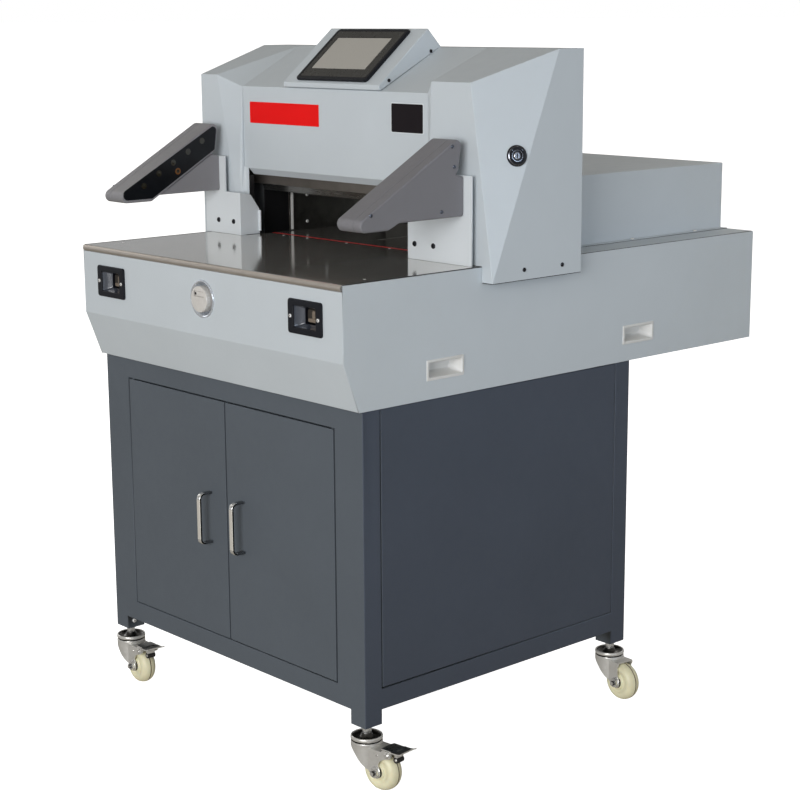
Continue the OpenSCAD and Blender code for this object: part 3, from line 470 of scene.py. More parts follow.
def soft_copy(node, mat, big=1.6, small=0.35, min_len=6.0, name=None, extra=None, segments=3, thin=3.4, plain=None):
    """A CAD node's shape with rolled folds and broken sheet edges, in place of the node."""
    src = NODES[node]
    name = name or node + "_sheet"
    me = src.data.copy()
    me.name = name
    bm = bmesh.new()
    bm.from_mesh(me)
    bmesh.ops.remove_doubles(bm, verts=bm.verts, dist=2e-6)
    bmesh.ops.dissolve_limit(bm, angle_limit=math.radians(0.4), verts=bm.verts, edges=bm.edges)
    bm.normal_update()
    lay = bm.edges.layers.float.new("bevel_weight_edge")
    width = {f: 2000.0 * f.calc_area() / max(1e-9, sum(e.calc_length() for e in f.edges)) for f in bm.faces}
    for e in bm.edges:
        e.smooth = True
        if len(e.link_faces) != 2:
            e.smooth = False
            continue
        ang = math.degrees(e.calc_face_angle(0.0))
        ln = e.calc_length() * 1000
        mid = (e.verts[0].co + e.verts[1].co) * 500 + Vector((SX, SY, 0))
        if plain and plain(mid):
            e.smooth = ang < 30
        elif ang > 9 and e.is_convex and ln > min_len:
            wide = min(width[f] for f in e.link_faces) > thin
            e[lay] = 1.0 if wide else small / big
        elif ang > 30:
            e.smooth = False
    for f in bm.faces:
        f.smooth = True
        f.material_index = 0
    bm.to_mesh(me)
    bm.free()
    me.materials.clear()
    me.materials.append(mat)
    if extra:
        for m, test in extra:
            me.materials.append(m)
            k = len(me.materials) - 1
            for p in me.polygons:
                c = p.center * 1000 + Vector((SX, SY, 0))
                if test(c, p.normal):
                    p.material_index = k
    o = bpy.data.objects.new(name, me)
    scene.collection.objects.link(o)
    bv = o.modifiers.new("edges", "BEVEL")
    bv.limit_method = "WEIGHT"
    bv.width = big / 1000
    bv.segments = segments
    bv.use_clamp_overlap = False
    bv.miter_outer = "MITER_ARC" if False else "MITER_SHARP"
    wn = o.modifiers.new("normals", "WEIGHTED_NORMAL")
    wn.keep_sharp = True
    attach(o, BODY[node])
    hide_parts(node)
    return o


# ------------------------------------------------------------------ fasteners
def cross_r(a, half, arm):
    a = abs((math.degrees(a) + 45) % 90 - 45)
    a = math.radians(a)
    lim = math.atan2(half, arm)
    return arm / math.cos(a) if a <= lim else half / math.sin(a)


def screw(g, pos, axis, r=3.6, h=1.9, turn=0.0, kind="cross", seg=48, mats=(0, 1)):
    """Pan head with a cleanly cut drive recess, seated on pos and facing along axis."""
    u, v, w = axes(axis)
    o = Vector(pos)

    def ring(fn, z):
        return [o + w * z + (u * math.cos(a + turn) + v * math.sin(a + turn)) * fn(a) for a in (2 * math.pi * k / seg for k in range(seg))]

    def const(x):
        return lambda a: x

    if kind == "cross":
        hole = lambda a: cross_r(a, r * 0.13, r * 0.56)
        floor = lambda a: cross_r(a, r * 0.09, r * 0.40)
    elif kind == "hex":
        hole = lambda a: r * 0.50 / math.cos((a % (math.pi / 3)) - math.pi / 6)
        floor = lambda a: r * 0.48 / math.cos((a % (math.pi / 3)) - math.pi / 6)
    else:
        hole = lambda a: cross_r(a, r * 0.13, r * 0.56)
        floor = hole
    rings = [ring(const(r * 0.98), -0.3), ring(const(r), 0.0), ring(const(r), h * 0.35), ring(const(r * 0.95), h * 0.66), ring(const(r * 0.84), h * 0.88),
             ring(const(r * 0.70), h), ring(hole, h * 1.0), ring(floor, h * 0.42 if kind == "cross" else h * 0.2)]
    g.rings(rings, [mats[0]] * 6 + [mats[1], mats[1]])


def hexagon(r, turn=0.0):
    return [(r * math.cos(math.radians(60 * k + turn)), r * math.sin(math.radians(60 * k + turn))) for k in range(6)]


def nut(g, o, w, r, h0, h1, turn=0.0, mat=0):
    """Hexagon nut with chamfered corners between heights h0 and h1 along w."""
    u, v, w = axes(w)
    seg = 48

    def ring(z, k):
        out = []
        for i in range(seg):
            a = 2 * math.pi * i / seg
            hx = r * math.cos(math.pi / 6) / math.cos(((a + math.pi / 6) % (math.pi / 3)) - math.pi / 6)
            rr = min(hx, r * k)
            out.append(Vector(o) + w * z + (u * math.cos(a + turn) + v * math.sin(a + turn)) * rr)
        return out
    c = (h1 - h0) * 0.18
    g.rings([ring(h0, 0.9), ring(h0 + c, 1.0), ring(h1 - c, 1.0), ring(h1, 0.9)], mat)


# ------------------------------------------------------------------ sheet metal and frame
# the cabinet's outer ±X faces take the darker slate copy as painted shade
soft_copy("cabinet_frame", SLATE, 2.2, 0.5, plain=lambda c: c.z > 679 or not (abs(c.x) > 388.0 or c.y < 42.6 or c.y > 726.4), extra=[(SLATE_SIDE_PAINTED_SHADE, lambda c, n: abs(n.x) > 0.8 and abs(c.x) > 380)])
soft_copy("cabinet_panels", SLATE, 0.8, 0.3, extra=[(SLATE_SIDE_PAINTED_SHADE, lambda c, n: abs(n.x) > 0.8 and abs(c.x) > 340)])
soft_copy("door_left", SLATE, 1.2, 0.3)
soft_copy("door_right", SLATE, 1.2, 0.3)
soft_copy("bed_front_panel", PALE, 1.6, 0.35)
soft_copy("bed_sides", PALE, 0.8, 0.5)
soft_copy("bed_rear_panel", PALE, 0.8, 0.4)
soft_copy("rear_deck", PALE, 0.8, 0.3, extra=[(GUIDE, lambda c, n: (-287.5 < c.x < -283.5 or 219.5 < c.x < 222.6) and c.z > 902 and n.y > -0.5),
                                          (NOSING, lambda c, n: (-287.5 < c.x < -283.5 or 219.5 < c.x < 222.6) and n.y < -0.5)])
soft_copy("rear_cover", PALE, 1.6, 0.35, plain=lambda c: c.z < 901.2)
# the left column cover's inner return face in the throat is painted near-black as shade
soft_copy("left_column_cover", PALE, 1.0, 0.35, plain=lambda c: abs(c.x + 311.5) < 0.6, extra=[(THROAT_PAINTED_SHADE, lambda c, n: c.x > -298 and c.y > 339 and n.x > 0.5 and c.z < 1030)])
soft_copy("right_column_cover", PALE, 1.0, 0.35)
soft_copy("head_cover", PALE, 1.0, 0.35)
soft_copy("console_housing", PALE, 1.6, 0.35)
soft_copy("arm_brackets", BRACKET, 0.9, 0.4)
soft_copy("work_table", TABLE, 0.6, 0.3, extra=[(NOSING, lambda c, n: c.y < 6.5 and n.z < 0.97)], name="table_plate")
g = Geo()
slab(g, rrect(5.4, 42.0, 0.6, 3, -285.5, 927.0), ((0, 357.0, 0), (1, 0, 0), (0, 0, 1), (0, -1, 0)), edge_prof(0.0, 2.4, 0.4, 3, 0.2))
build("bracket_fold", g, [BRACKET], "machine", ())
g = Geo()
slab(g, rrect(6.4, 82.0, 0.6, 3, 439.0, 943.0), FX, edge_prof(-284.0, -283.35, 0.25, 2, 0.05))
slab(g, rrect(6.4, 82.0, 0.6, 3, -439.0, 943.0), FXN, edge_prof(-220.0, -219.35, 0.25, 2, 0.05))
build("guide_wear_strips", g, [SCREWW], "machine", ())
# thin black strips along the table's side edges: painted shadow gap lines
for s in (-1, 1):
    g = Geo()
    slab(g, rrect(2.6, 318.0, 0.5, 3, s * 387.7, 161.0), ((0, 0, 0), (1, 0, 0), (0, 1, 0), (0, 0, 1)), edge_prof(899.6, 900.35, 0.3, 2, 0.05))
    build("table_seal_" + ("right" if s > 0 else "left"), g, [BLACK], "machine", ())
# thin black strips along the rear cover flange and the bed side's top edge: painted shadow gap lines
for s in (-1, 1):
    g = Geo()
    slab(g, rrect(1.6, 540.0, 0.5, 3, s * 327.0, 826.0), ((0, 0, 0), (1, 0, 0), (0, 1, 0), (0, 0, 1)), edge_prof(900.0, 900.5, 0.2, 2, 0.05))
    slab(g, rrect(1.1, 540.0, 0.3, 3, s * 389.6, 826.0), ((0, 0, 0), (1, 0, 0), (0, 1, 0), (0, 0, 1)), edge_prof(899.02, 899.8, 0.2, 2, 0.05))
    build("deck_seal_" + ("right" if s > 0 else "left"), g, [BLACK], "machine", ())
# thin black strips under the column covers' bottom edges: painted shadow gap lines
for nm, xo, xi_, xf in (("right", 416.75, 1.9, (391.6, 415.6)), ("left", -426.75, 1.9, (-425.6, -391.6))):
    g = Geo()
    slab(g, rrect(xi_, 228.2, 0.5, 3, xo, 436.5), ((0, 0, 0), (1, 0, 0), (0, 1, 0), (0, 0, 1)), edge_prof(870.9, 871.98, 0.3, 2, 0.05))
    slab(g, rrect(xf[1] - xf[0], 1.9, 0.5, 3, (xf[0] + xf[1]) / 2, 323.25), ((0, 0, 0), (1, 0, 0), (0, 1, 0), (0, 0, 1)), edge_prof(870.9, 871.98, 0.3, 2, 0.05))
    build("cover_edge_trim_" + nm, g, [BLACK], "machine", ())
# black strips behind the seams round the cabinet's back panel: painted shadow in the seam gaps
g = Geo()
for s in (-1, 1):
    slab(g, rrect(5.4, 451.0, 0.5, 3, s * 345.7, 408.5), FYN, edge_prof(-724.9, -723.5, 0.3, 2, 0.05))
slab(g, rrect(696.8, 5.9, 0.5, 3, 0.0, 637.0), FYN, edge_prof(-724.9, -723.5, 0.3, 2, 0.05))
for xa, xb in ((-348.4, -200.2), (-169.8, 169.8), (200.2, 348.4)):
    slab(g, rrect(xb - xa, 5.9, 0.5, 3, (xa + xb) / 2, 180.05), FYN, edge_prof(-724.9, -723.5, 0.3, 2, 0.05))
build("back_panel_seal", g, [BLACK], "machine", ())
soft_copy("base_plate", FRAMEP, 0.8, 0.4)
# the main frame's inner side faces seen through the throat are painted near-black as shade
soft_copy("main_frame", FRAMEP, 2.0, 0.5, extra=[(THROAT_PAINTED_SHADE, lambda c, n: abs(n.x) > 0.5 and 200 < abs(c.x) < 360)])
soft_copy("knife_beam", TOOL, 1.2, 0.4)
soft_copy("knife_blade", BLADE, 0.5, 0.3)
soft_copy("clamp_beam", CLAMP, 1.0, 0.4)
soft_copy("back_gauge", CLAMP, 0.8, 0.4)
soft_copy("gauge_rails", TOOL, 0.8, 0.4)
soft_copy("hydraulic_unit", UNITP, 2.5, 0.6)
soft_copy("power_inlet", BLACK, 0.5, 0.3, min_len=3)
soft_copy("gauge_motor", BLACK, 1.5, 0.5)
soft_copy("cutting_stick", STICK, 0.3, 0.2)

# ------------------------------------------------------------------ door handles
for side, x in (("left", -50.0), ("right", 50.0)):
    g = Geo()
    R, yc, z0, z1 = 9.5, 14.6, 361.0, 457.0
    path = [((41.98, z0), (0, 1)), ((40.0, z0), (0, 1)), ((yc + R + 0.5, z0), (0, 1))]
    for k in range(11):
        a = math.radians(90 * k / 10)
        path.append(((yc + R - R * math.sin(a), z0 + R - R * math.cos(a)), (math.sin(a), math.cos(a))))
    path += [((yc, z0 + R + 1.0), (1, 0)), ((yc, z1 - R - 1.0), (1, 0))]
    for k in range(11):
        a = math.radians(90 - 90 * k / 10)
        path.append(((yc + R - R * math.sin(a), z1 - R + R * math.cos(a)), (math.sin(a), -math.cos(a))))
    path += [((yc + R + 0.5, z1), (0, -1)), ((40.0, z1), (0, -1)), ((41.98, z1), (0, -1))]
    sec = rrect(10.2, 4.8, 1.7, 6)
    g.rings([[(x + p[0], c[0] + n[0] * p[1], c[1] + n[1] * p[1]) for p in sec] for c, n in path])
    # the bar's side and back faces take the near-black metal as painted shadow and dark reflection
    for i in range(len(g.f)):
        c = sum((g.v[j] for j in g.f[i]), Vector()) / len(g.f[i])
        side_face = abs(c.x - x) > 4.75
        if c.y > yc + R:
            g.m[i] = 2
        elif c.z < z0 + R or c.z > z1 - R:
            g.m[i] = 3 if side_face else 1
        else:
            g.m[i] = 3 if side_face or c.y > yc + 1.0 else 0
    build("handle_bow_" + side, g, [NICKEL, NUTZ, LEG, BAR_PAINTED_SHADOW], "cabinet_door_" + side, ("door_handle_" + side,), sharp=50)

# ------------------------------------------------------------------ casters
CASTERS = {"fr": (368.5, 62.0, 6.0), "fl": (-368.5, 62.0, -4.0), "rr": (368.5, 707.0, -5.0), "rl": (-368.5, 707.0, 9.0)}
TRAIL, WR = 39.0, 37.5

g = Geo()
for c, (px, py, psi) in CASTERS.items():
    o = (px, py, 0)
    # dished upper race with a rolled rim, then cone, nut and washer
    # the dish's inside and the cone take the dark race metal as painted shade and dark reflection
    g.lathe([(0, 86.05), (26.6, 86.05), (28.1, 86.4), (28.8, 87.5), (28.9, 89.3), (28.75, 91.1), (28.2, 92.3), (27.3, 92.9), (26.4, 92.7), (25.7, 91.7), (25.0, 89.7), (23.4, 88.4),
             (17.0, 88.4), (14.2, 89.5), (11.4, 92.1), (9.4, 95.5), (8.8, 96.5), (0, 96.5)], o, AX_Z, 72, [0] * 9 + [1] * 8)
    nut(g, o, (0, 0, 1), 9.0, 96.5, 106.9, 0.5, 2)
    g.lathe([(0, 106.9), (11.4, 106.9), (12.0, 107.4), (12.0, 110.4), (11.5, 110.95), (0, 110.95)], o, AX_Z, 40, 2)
    # threaded stud and lock nut inside the post
    nut(g, o, (0, 0, 1), 10.4, 119.1, 127.0, 0.6)
    prof = [(0, 127.0)]
    for k in range(4):
        prof += [(5.4, 127.0 + k), (5.95, 127.5 + k)]
    prof += [(5.2, 131.0), (0, 131.0)]
    g.lathe(prof, o, AX_Z, 32)
build("caster_seats", g, [ZINC, RACE_DARK_AND_PAINTED_SHADE, NUTZ], "machine", ("caster_stems",))


def local(px, py, psi):
    c, s = math.cos(math.radians(psi)), math.sin(math.radians(psi))
    return Vector((px, py, 0)), Vector((c, s, 0)), Vector((-s, c, 0)), Vector((0, 0, 1))


def lerp_pts(pts, x):
    for (x0, z0), (x1, z1) in zip(pts, pts[1:]):
        if x <= x1:
            k = max(0.0, (x - x0) / (x1 - x0))
            return z0 + (z1 - z0) * k
    return pts[-1][1]


SKIRT = [(-28.5, 76.1), (-24, 75.1), (-16, 72.8), (-9, 68.1), (-2.6, 62.5), (6.7, 51.5), (16, 41.5), (22, 35)]
for c, (px, py, psi) in CASTERS.items():
    o, ex, ey, ez = local(px, py, psi)
    braked = c in ("fr", "fl")
    g = Geo()
    # lower race with the gap above it painted dark as shade
    g.lathe([(0, 76.2), (26.6, 76.2), (28.0, 76.9), (28.5, 78.1), (28.5, 82.1), (28.1, 83.1), (27.0, 83.5), (24.6, 83.6), (24.0, 84.0), (24.0, 85.5), (0, 85.6)], o, (ex, ey, ez), 72,
            [0] * 6 + [1] * 4)
    # round skirt under the race, its lower edge slanting down to the axle
    th = [math.radians(44.6 + (360 - 89.2) * k / 64) for k in range(65)]
    rings = []
    for a in th:
        ca_, sa_ = math.cos(a), math.sin(a)
        zl = lerp_pts(SKIRT, 28.5 * ca_)
        rings.append([o + (ex * ca_ + ey * sa_) * r + ez * z for r, z in
                      ((28.5, zl + 0.7), (28.5, 78.5), (26.3, 78.5), (26.3, zl + 0.7), (26.7, zl + 0.1), (28.1, zl + 0.1))])
    g.rings(rings)
    tail = [(50.0, 78.4, 2.0), (55.5, 82.4, 2.0), (71.6, 82.4, 2.5), (72.0, 70.0, 4.0), (57.0, 65.6, 5.0), (47.4, 59.4, 6.0)] if braked else [(45.6, 78.4, 1.2), (46.0, 73.0, 1.5), (42.5, 68.0, 3.0)]
    cheek = round_poly([(-6.0, 78.2, 0.6)] + tail + [(43.8, 50.5, 4.0), (48.0, 42.0, 5.0), (48.0, 32.5, 6.0), (43.5, 27.4, 6.0), (33.0, 27.2, 8.0), (20.0, 37.0, 6.0), (-4.0, 64.0, 4.0)], 6)
    cheek = cheek[::-1] if sum((cheek[i][0] - cheek[i - 1][0]) * (cheek[i][1] + cheek[i - 1][1]) for i in range(len(cheek))) > 0 else cheek
    for s in (-1, 1):
        if s < 0:
            slab(g, cheek, (o, ex, ez, -ey), edge_prof(17.5, 20.0, 0.7, 3))
        else:
            slab(g, [(-p[0], p[1]) for p in cheek][::-1], (o, -ex, ez, ey), edge_prof(17.5, 20.0, 0.7, 3))
    sec = [(-19.9, 76.1), (19.9, 76.1)] + [(17.4 + 2.5 * math.sin(a), 76.4 + 2.5 * math.cos(a)) for a in (math.pi / 2 * (5 - k) / 5 for k in range(6))]
    sec += [(-17.4 - 2.5 * math.sin(a), 76.4 + 2.5 * math.cos(a)) for a in (math.pi / 2 * k / 5 for k in range(6))]
    x_end = 48.0 if braked else 45.8
    g.rings([[o + ex * x + ey * y + ez * z for y, z in sec] for x in (0.0, x_end - 0.6)] + [[o + ex * x_end + ey * y * 0.98 + ez * (77.5 + (z - 77.5) * 0.6) for y, z in sec]])
    # axle with dark spacers, washer, nut on the near side and head on the far side
    ao = o + ex * TRAIL + ez * WR
    for s in (-1, 1):
        w = ey * s
        fr3 = axes(w)
        g.lathe([(0, 16.3), (11.0, 16.3), (11.4, 16.6), (11.4, 17.6), (0, 17.6)], ao, fr3, 40, 2)
        g.lathe([(0, 20.0), (10.6, 20.0), (11.0, 20.3), (11.0, 20.9), (10.5, 21.3), (9.8, 21.4), (0, 21.4)], ao, fr3, 40, [2, 2, 3, 3, 3, 3])
        nut(g, ao, w, 9.3, 21.4, 26.4, 0.25, 3)
        end = 31.3 if s < 0 else 26.0
        if s < 0:
            prof = [(0, 26.0), (4.1, 26.0)]
            for k in range(4):
                prof += [(4.15, 26.5 + 1.1 * k), (4.6, 27.0 + 1.1 * k)]
            prof += [(4.6, end - 0.7), (4.0, end - 0.1)]
            g.lathe(prof + [(2.8, end), (0, end)], ao, fr3, 28, [1] * (len(prof) - 1) + [3, 3, 3])
        if braked:
            g.lathe([(0, 19.9), (2.6, 19.9), (2.6, 20.5), (1.9, 21.2), (0, 21.4)], o + ex * 41.7 + ez * 70, fr3, 24, 3)
            g.lathe([(0, 19.9), (5.0, 19.9), (5.0, 20.5), (4.5, 20.8), (4.5, 22.0), (3.6, 22.8), (0, 23.0)], o + ex * 65 + ez * 75, fr3, 28, [1, 1, 3, 3, 3, 3])
    if braked:
        g.lathe([(0, -17.7), (2.95, -17.7), (2.95, 17.7), (0, 17.7)], o + ex * 65 + ez * 75, axes(ey), 20)
    g.lathe([(0, -16.5), (4.55, -16.5), (4.55, 16.5), (0, 16.5)], ao, axes(ey), 24)
    build("fork_" + c, g, [ZINC, RACE_DARK_AND_PAINTED_SHADE, RUBBER, NUTZ], "caster_" + c, ("caster_fork_" + c,))

    # wheel: hub, dished sides, full round tread with a centre groove
    g = Geo()
    side = [(4.75, 15.8), (12.6, 15.8), (13.8, 15.4), (14.4, 14.4), (15.2, 13.1), (16.6, 12.6), (19.2, 12.6), (20.6, 13.2), (21.8, 14.4), (23.4, 15.3)]
    side += [(WR - 11.5 * (1 - math.cos(a)), 15.5 * math.sin(a)) for a in (math.radians(90 - 8.4 * k) for k in range(11))]
    side += [(WR, 1.15), (WR - 0.3, 0.85), (WR - 1.5, 0.8)]
    prof = [(r, h) for r, h in side] + [(r, -h) for r, h in side[::-1]] + [(4.75, 15.8)]
    k0 = len(side) - 3
    mats = [1 if k0 <= k < len(side) + 2 else 0 for k in range(len(prof) - 1)]
    g.lathe(prof, ao, axes(ey), 96, mats)
    build("wheel_tyre_" + c, g, [CREAM, GROOVE], "roller_" + c, ("wheel_" + c,), sharp=50, weighted=False)

    if braked:
        # lever: pressed plate with a hollow end between two turned-up horns, ears and a rubber stop
        g = Geo()
        xs = [50.2, 53, 57, 61, 65, 69, 71.5, 72.8, 74, 77, 80, 83, 86, 89, 92, 94, 96, 98, 99.2, 100]
        ny = 20
        crest = [(50, 84.6), (60, 84.8), (72, 84.7), (80, 84.2), (88, 84.2), (93, 84.9), (97, 86.4), (100, 87.9)]

        def half(x):
            if x < 72:
                return 17.0
            if x < 74:
                return 17.0 + (x - 72) / 2 * 1.9
            return 18.9 + max(0.0, (x - 86) / 14) * 1.1

        top, bot = [], []
        for x in xs:
            rt, rb = [], []
            for j in range(ny + 1):
                t = -1 + 2 * j / ny
                kx = max(0.0, (x - 72) / 28)
                xx = x - kx * 5.0 * (1 - abs(t) ** 4)
                y = t * half(x)
                z = lerp_pts(crest, x) - 0.9 * abs(t) ** 4 * (1 - kx) - kx * 2.2 * (1 - abs(t) ** 3)
                rt.append(o + ex * xx + ey * y + ez * z)
                rb.append(o + ex * (xx - 0.15) + ey * y * 0.99 + ez * (z - 2.1 - 0.6 * kx))
            top.append(rt)
            bot.append(rb)
        nx = len(xs)
        base = len(g.v)
        for row in top + bot:
            g.v += row

        def vi(layer, i, j):
            return base + layer * nx * (ny + 1) + i * (ny + 1) + j
        for i in range(nx - 1):
            for j in range(ny):
                g.f.append([vi(0, i, j), vi(0, i + 1, j), vi(0, i + 1, j + 1), vi(0, i, j + 1)])
                g.f.append([vi(1, i, j), vi(1, i, j + 1), vi(1, i + 1, j + 1), vi(1, i + 1, j)])
                g.m += [0, 0]
        for i in range(nx - 1):
            g.f.append([vi(0, i, 0), vi(1, i, 0), vi(1, i + 1, 0), vi(0, i + 1, 0)])
            g.f.append([vi(0, i, ny), vi(0, i + 1, ny), vi(1, i + 1, ny), vi(1, i, ny)])
            g.m += [1, 1]
        for j in range(ny):
            g.f.append([vi(0, 0, j), vi(0, 0, j + 1), vi(1, 0, j + 1), vi(1, 0, j)])
            g.f.append([vi(0, nx - 1, j), vi(1, nx - 1, j), vi(1, nx - 1, j + 1), vi(0, nx - 1, j + 1)])
            g.m += [1, 1]
        ear = round_poly([(58.0, 70.0, 2.0), (61.0, 68.8, 2.0), (69.0, 68.8, 3.0), (72.0, 72.0, 2.0), (72.0, 83.6, 0.5), (58.0, 83.6, 0.5)], 4)
        slab(g, ear, (o, ex, ez, -ey), edge_prof(14.8, 17.1, 0.4, 2), 1)
        slab(g, [(-p[0], p[1]) for p in ear][::-1], (o, -ex, ez, ey), edge_prof(14.8, 17.1, 0.4, 2), 1)
        # hanger folded down from the plate, stop with its screw
        hang = round_poly([(72.6, 70.0, 1.0), (79.4, 70.0, 1.0), (79.4, 83.6, 0.5), (72.6, 83.6, 0.5)], 3)
        slab(g, hang, (o, ex, ez, -ey), edge_prof(-8.4, 8.4, 0.5, 2), 1)
        so = o + ex * 76 + ez * 66
        g.lathe([(2.7, -8.4), (3.6, -9.0), (4.8, -8.9), (5.5, -8.3), (5.8, -7.4), (5.8, 7.4), (5.5, 8.3), (4.8, 8.9), (3.6, 9.0), (2.7, 8.4), (2.7, -8.4)], so, axes(ey), 40, 2)
        g.lathe([(0, -9.1), (1.6, -9.0), (2.65, -8.3), (2.65, 8.3), (1.6, 9.0), (0, 9.1)], so, axes(ey), 24, 1)
        build("brake_lever_" + c, g, [DARKSTEEL, ZINC, RUBBER], "pedal_" + c, ("brake_" + c,))

# ------------------------------------------------------------------ hand cups in the bed sides
g = Geo()
for s in (1, -1):
    for cy in (233.0, 747.0):
        def cup_ring(w, h, r, depth, dz=0.0):
            pts = rrect(w, h, r, 6, 0.0, dz)
            if s > 0:
                return [(391.0 + depth, cy + p[0], 731.5 + p[1]) for p in pts]
            return [(-391.0 - depth, cy - p[0], 731.5 + p[1]) for p in pts]
        g.rings([cup_ring(56, 15, 7, -23.6, 3.6), cup_ring(62, 17.6, 8, -22.4, 3.0), cup_ring(67, 20.5, 8, -17.0, 2.0), cup_ring(72, 23, 6, -9.0, 1.0),
                 cup_ring(76, 25, 4.5, -3.0, 0.3), cup_ring(78.4, 26.0, 4.0, 0.0), cup_ring(79.6, 27.0, 4.0, 1.0), cup_ring(81.4, 28.8, 4.2, 1.45),
                 cup_ring(86.5, 33.5, 2.4, 1.5), cup_ring(89.0, 36.2, 2.2, 1.15), cup_ring(90.0, 37.0, 2.0, 0.5), cup_ring(90.0, 37.0, 2.0, 0.02),
                 cup_ring(83.4, 30.4, 2.0, 0.0), cup_ring(83.4, 30.4, 2.0, -25.8)])
build("hand_cup_trays", g, [CUP], "machine", ("handle_cups",), sharp=40)

# ------------------------------------------------------------------ two-hand buttons
for side, bx in (("left", -294.0), ("right", 294.0)):
    def btn_ring(w, h, r, y, dz=0.0):
        return [(bx + p[0], y, 835.0 + p[1]) for p in rrect(w, h, r, 6, 0.0, dz)]
    g = Geo()
    # the funnel walls take the lighter gloss copy as painted highlight; the rim and bezel stay black
    g.rings([btn_ring(37, 27, 2, 31.0), btn_ring(37.4, 27.4, 2, 29.5), btn_ring(37.4, 27.4, 2, 14.2), btn_ring(38.6, 28.0, 2, 13.2), btn_ring(43.6, 30.4, 2, 10.4), btn_ring(50.0, 33.2, 2.2, 7.2),
             btn_ring(55.0, 35.8, 2.4, 3.4), btn_ring(58.4, 37.6, 2.6, -1.6), btn_ring(59.8, 38.8, 3, -3.4), btn_ring(61.4, 40.4, 3.2, -4.0), btn_ring(86.4, 56.4, 4.6, -4.0),
             btn_ring(88.8, 58.8, 5.0, -3.4), btn_ring(90.0, 60.0, 5.2, -2.2), btn_ring(90.0, 60.0, 5.2, -0.03), btn_ring(83.4, 53.4, 3, 0.0), btn_ring(83.4, 53.4, 3, 41.9)],
            [0, 0, 1, 1, 1, 1, 1, 0, 0, 0, 0, 0, 0, 0, 0])
    build("button_box_" + side, g, [BLACK, FUNNEL_PAINTED_SHEEN], "machine", ("button_housings",), sharp=30)
    # key: base ledge, raised finger pad and plunger
    g = Geo()
    base = rrect(34.0, 24.0, 4.5, 6)
    slab(g, base, ((bx, 0, 835.0), (1, 0, 0), (0, 0, 1), (0, -1, 0)), edge_prof(-26.0, -17.6, 1.4, 3, 0.5))
    pad = rrect(7.4, 15.0, 3.4, 6, 1.0, 2.6)
    slab(g, pad, ((bx, 0, 835.0), (1, 0, 0), (0, 0, 1), (0, -1, 0)), [(0, -18.5), (0, -16.6), (0.4, -15.7), (1.2, -15.15), (2.4, -15.1)], 1)
    led = rrect(25.0, 6.4, 1.8, 6, 0.0, -7.0)
    slab(g, led, ((bx, 0, 835.0), (1, 0, 0), (0, 0, 1), (0, -1, 0)), edge_prof(-18.5, -15.2, 1.0, 3, 0.3), 1)
    g.lathe([(0, 25.5), (4.95, 25.5), (4.95, 50.5), (4.2, 51.8), (0, 51.8)], (bx, 0, 835.0), AX_Y, 28)
    # key body in the darkened brown as painted shade; pad and ledge in the lighter copy as painted light
    build("button_key_" + side, g, [KEY_BROWN_PAINTED_SHADE, KEY_LEDGE_PAINTED_LIGHT], "push_" + side, ("button_" + side,))

# ------------------------------------------------------------------ hand wheel, dish and fold-out tab
g = Geo()
g.lathe([(5.1, 11.0), (22.5, 11.0), (25.4, 9.9), (27.4, 7.2), (28.8, 3.2), (30.0, -0.2), (31.2, -1.9), (32.6, -2.5), (34.0, -2.25), (34.8, -1.4), (35.0, -0.4), (35.0, -0.02),
         (32.0, 0.0), (32.0, 13.9), (11.0, 14.0), (11.0, 29.6), (10.4, 30.0), (5.1, 30.0), (5.1, 11.0)], (0, 0, 835.0), AX_Y, 80)
build("wheel_dish", g, [RING], "machine", ("handwheel_dish",))

g = Geo()
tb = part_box("handwheel_tab")
tab_x0 = -11.5
tab_z = (tb[0].z + tb[1].z) * 500
tab_x1 = tb[1].x * 1000 + SX
rec = (tab_x0 - 2.2, tab_x1 + 1.0, tab_z - 5.0, tab_z + 5.0)
rc = ((rec[0] + rec[1]) / 2, (rec[2] + rec[3]) / 2)
rad_flat = 22.4
seg = 96


def ray_rect(a):
    dx, dz = math.cos(a), math.sin(a)
    hx, hz = (rec[1] - rec[0]) / 2, (rec[3] - rec[2]) / 2
    t = min(hx / abs(dx) if abs(dx) > 1e-9 else 1e9, hz / abs(dz) if abs(dz) > 1e-9 else 1e9)
    return rc[0] + dx * t, rc[1] + dz * t


def ray_circ(a, r):
    dx, dz = math.cos(a), math.sin(a)
    px, pz = rc[0], rc[1] - 835.0
    b = px * dx + pz * dz
    t = -b + math.sqrt(max(0.0, b * b - (px * px + pz * pz - r * r)))
    return rc[0] + dx * t, rc[1] + dz * t


angs = sorted(set([2 * math.pi * k / seg for k in range(seg)] + [math.atan2(sz * (rec[3] - rec[2]) / 2, sx_ * (rec[1] - rec[0]) / 2) % (2 * math.pi) for sx_ in (-1, 1) for sz in (-1, 1)]))


def ring_at(fn, y):
    return [(fn(a)[0], y, fn(a)[1]) for a in angs]


g.rings([ring_at(ray_rect, -5.25), ring_at(ray_rect, -9.0), ring_at(lambda a: ray_circ(a, rad_flat), -9.0), ring_at(lambda a: ray_circ(a, 23.3), -8.6),
         ring_at(lambda a: ray_circ(a, 23.9), -7.6), ring_at(lambda a: ray_circ(a, 24.0), -6.0), ring_at(lambda a: ray_circ(a, 24.0), 6.2),
         ring_at(lambda a: ray_circ(a, 23.0), 7.9)], [1, 0, 1, 1, 1, 1, 1])
g.lathe([(0, 7.5), (4.95, 7.5), (4.95, 33.2), (4.3, 34.0), (0, 34.0)], (0, 0, 835.0), AX_Y, 28, 1)
build("wheel_disc", g, [DISC, DISC], "hand_wheel", ("handwheel",))

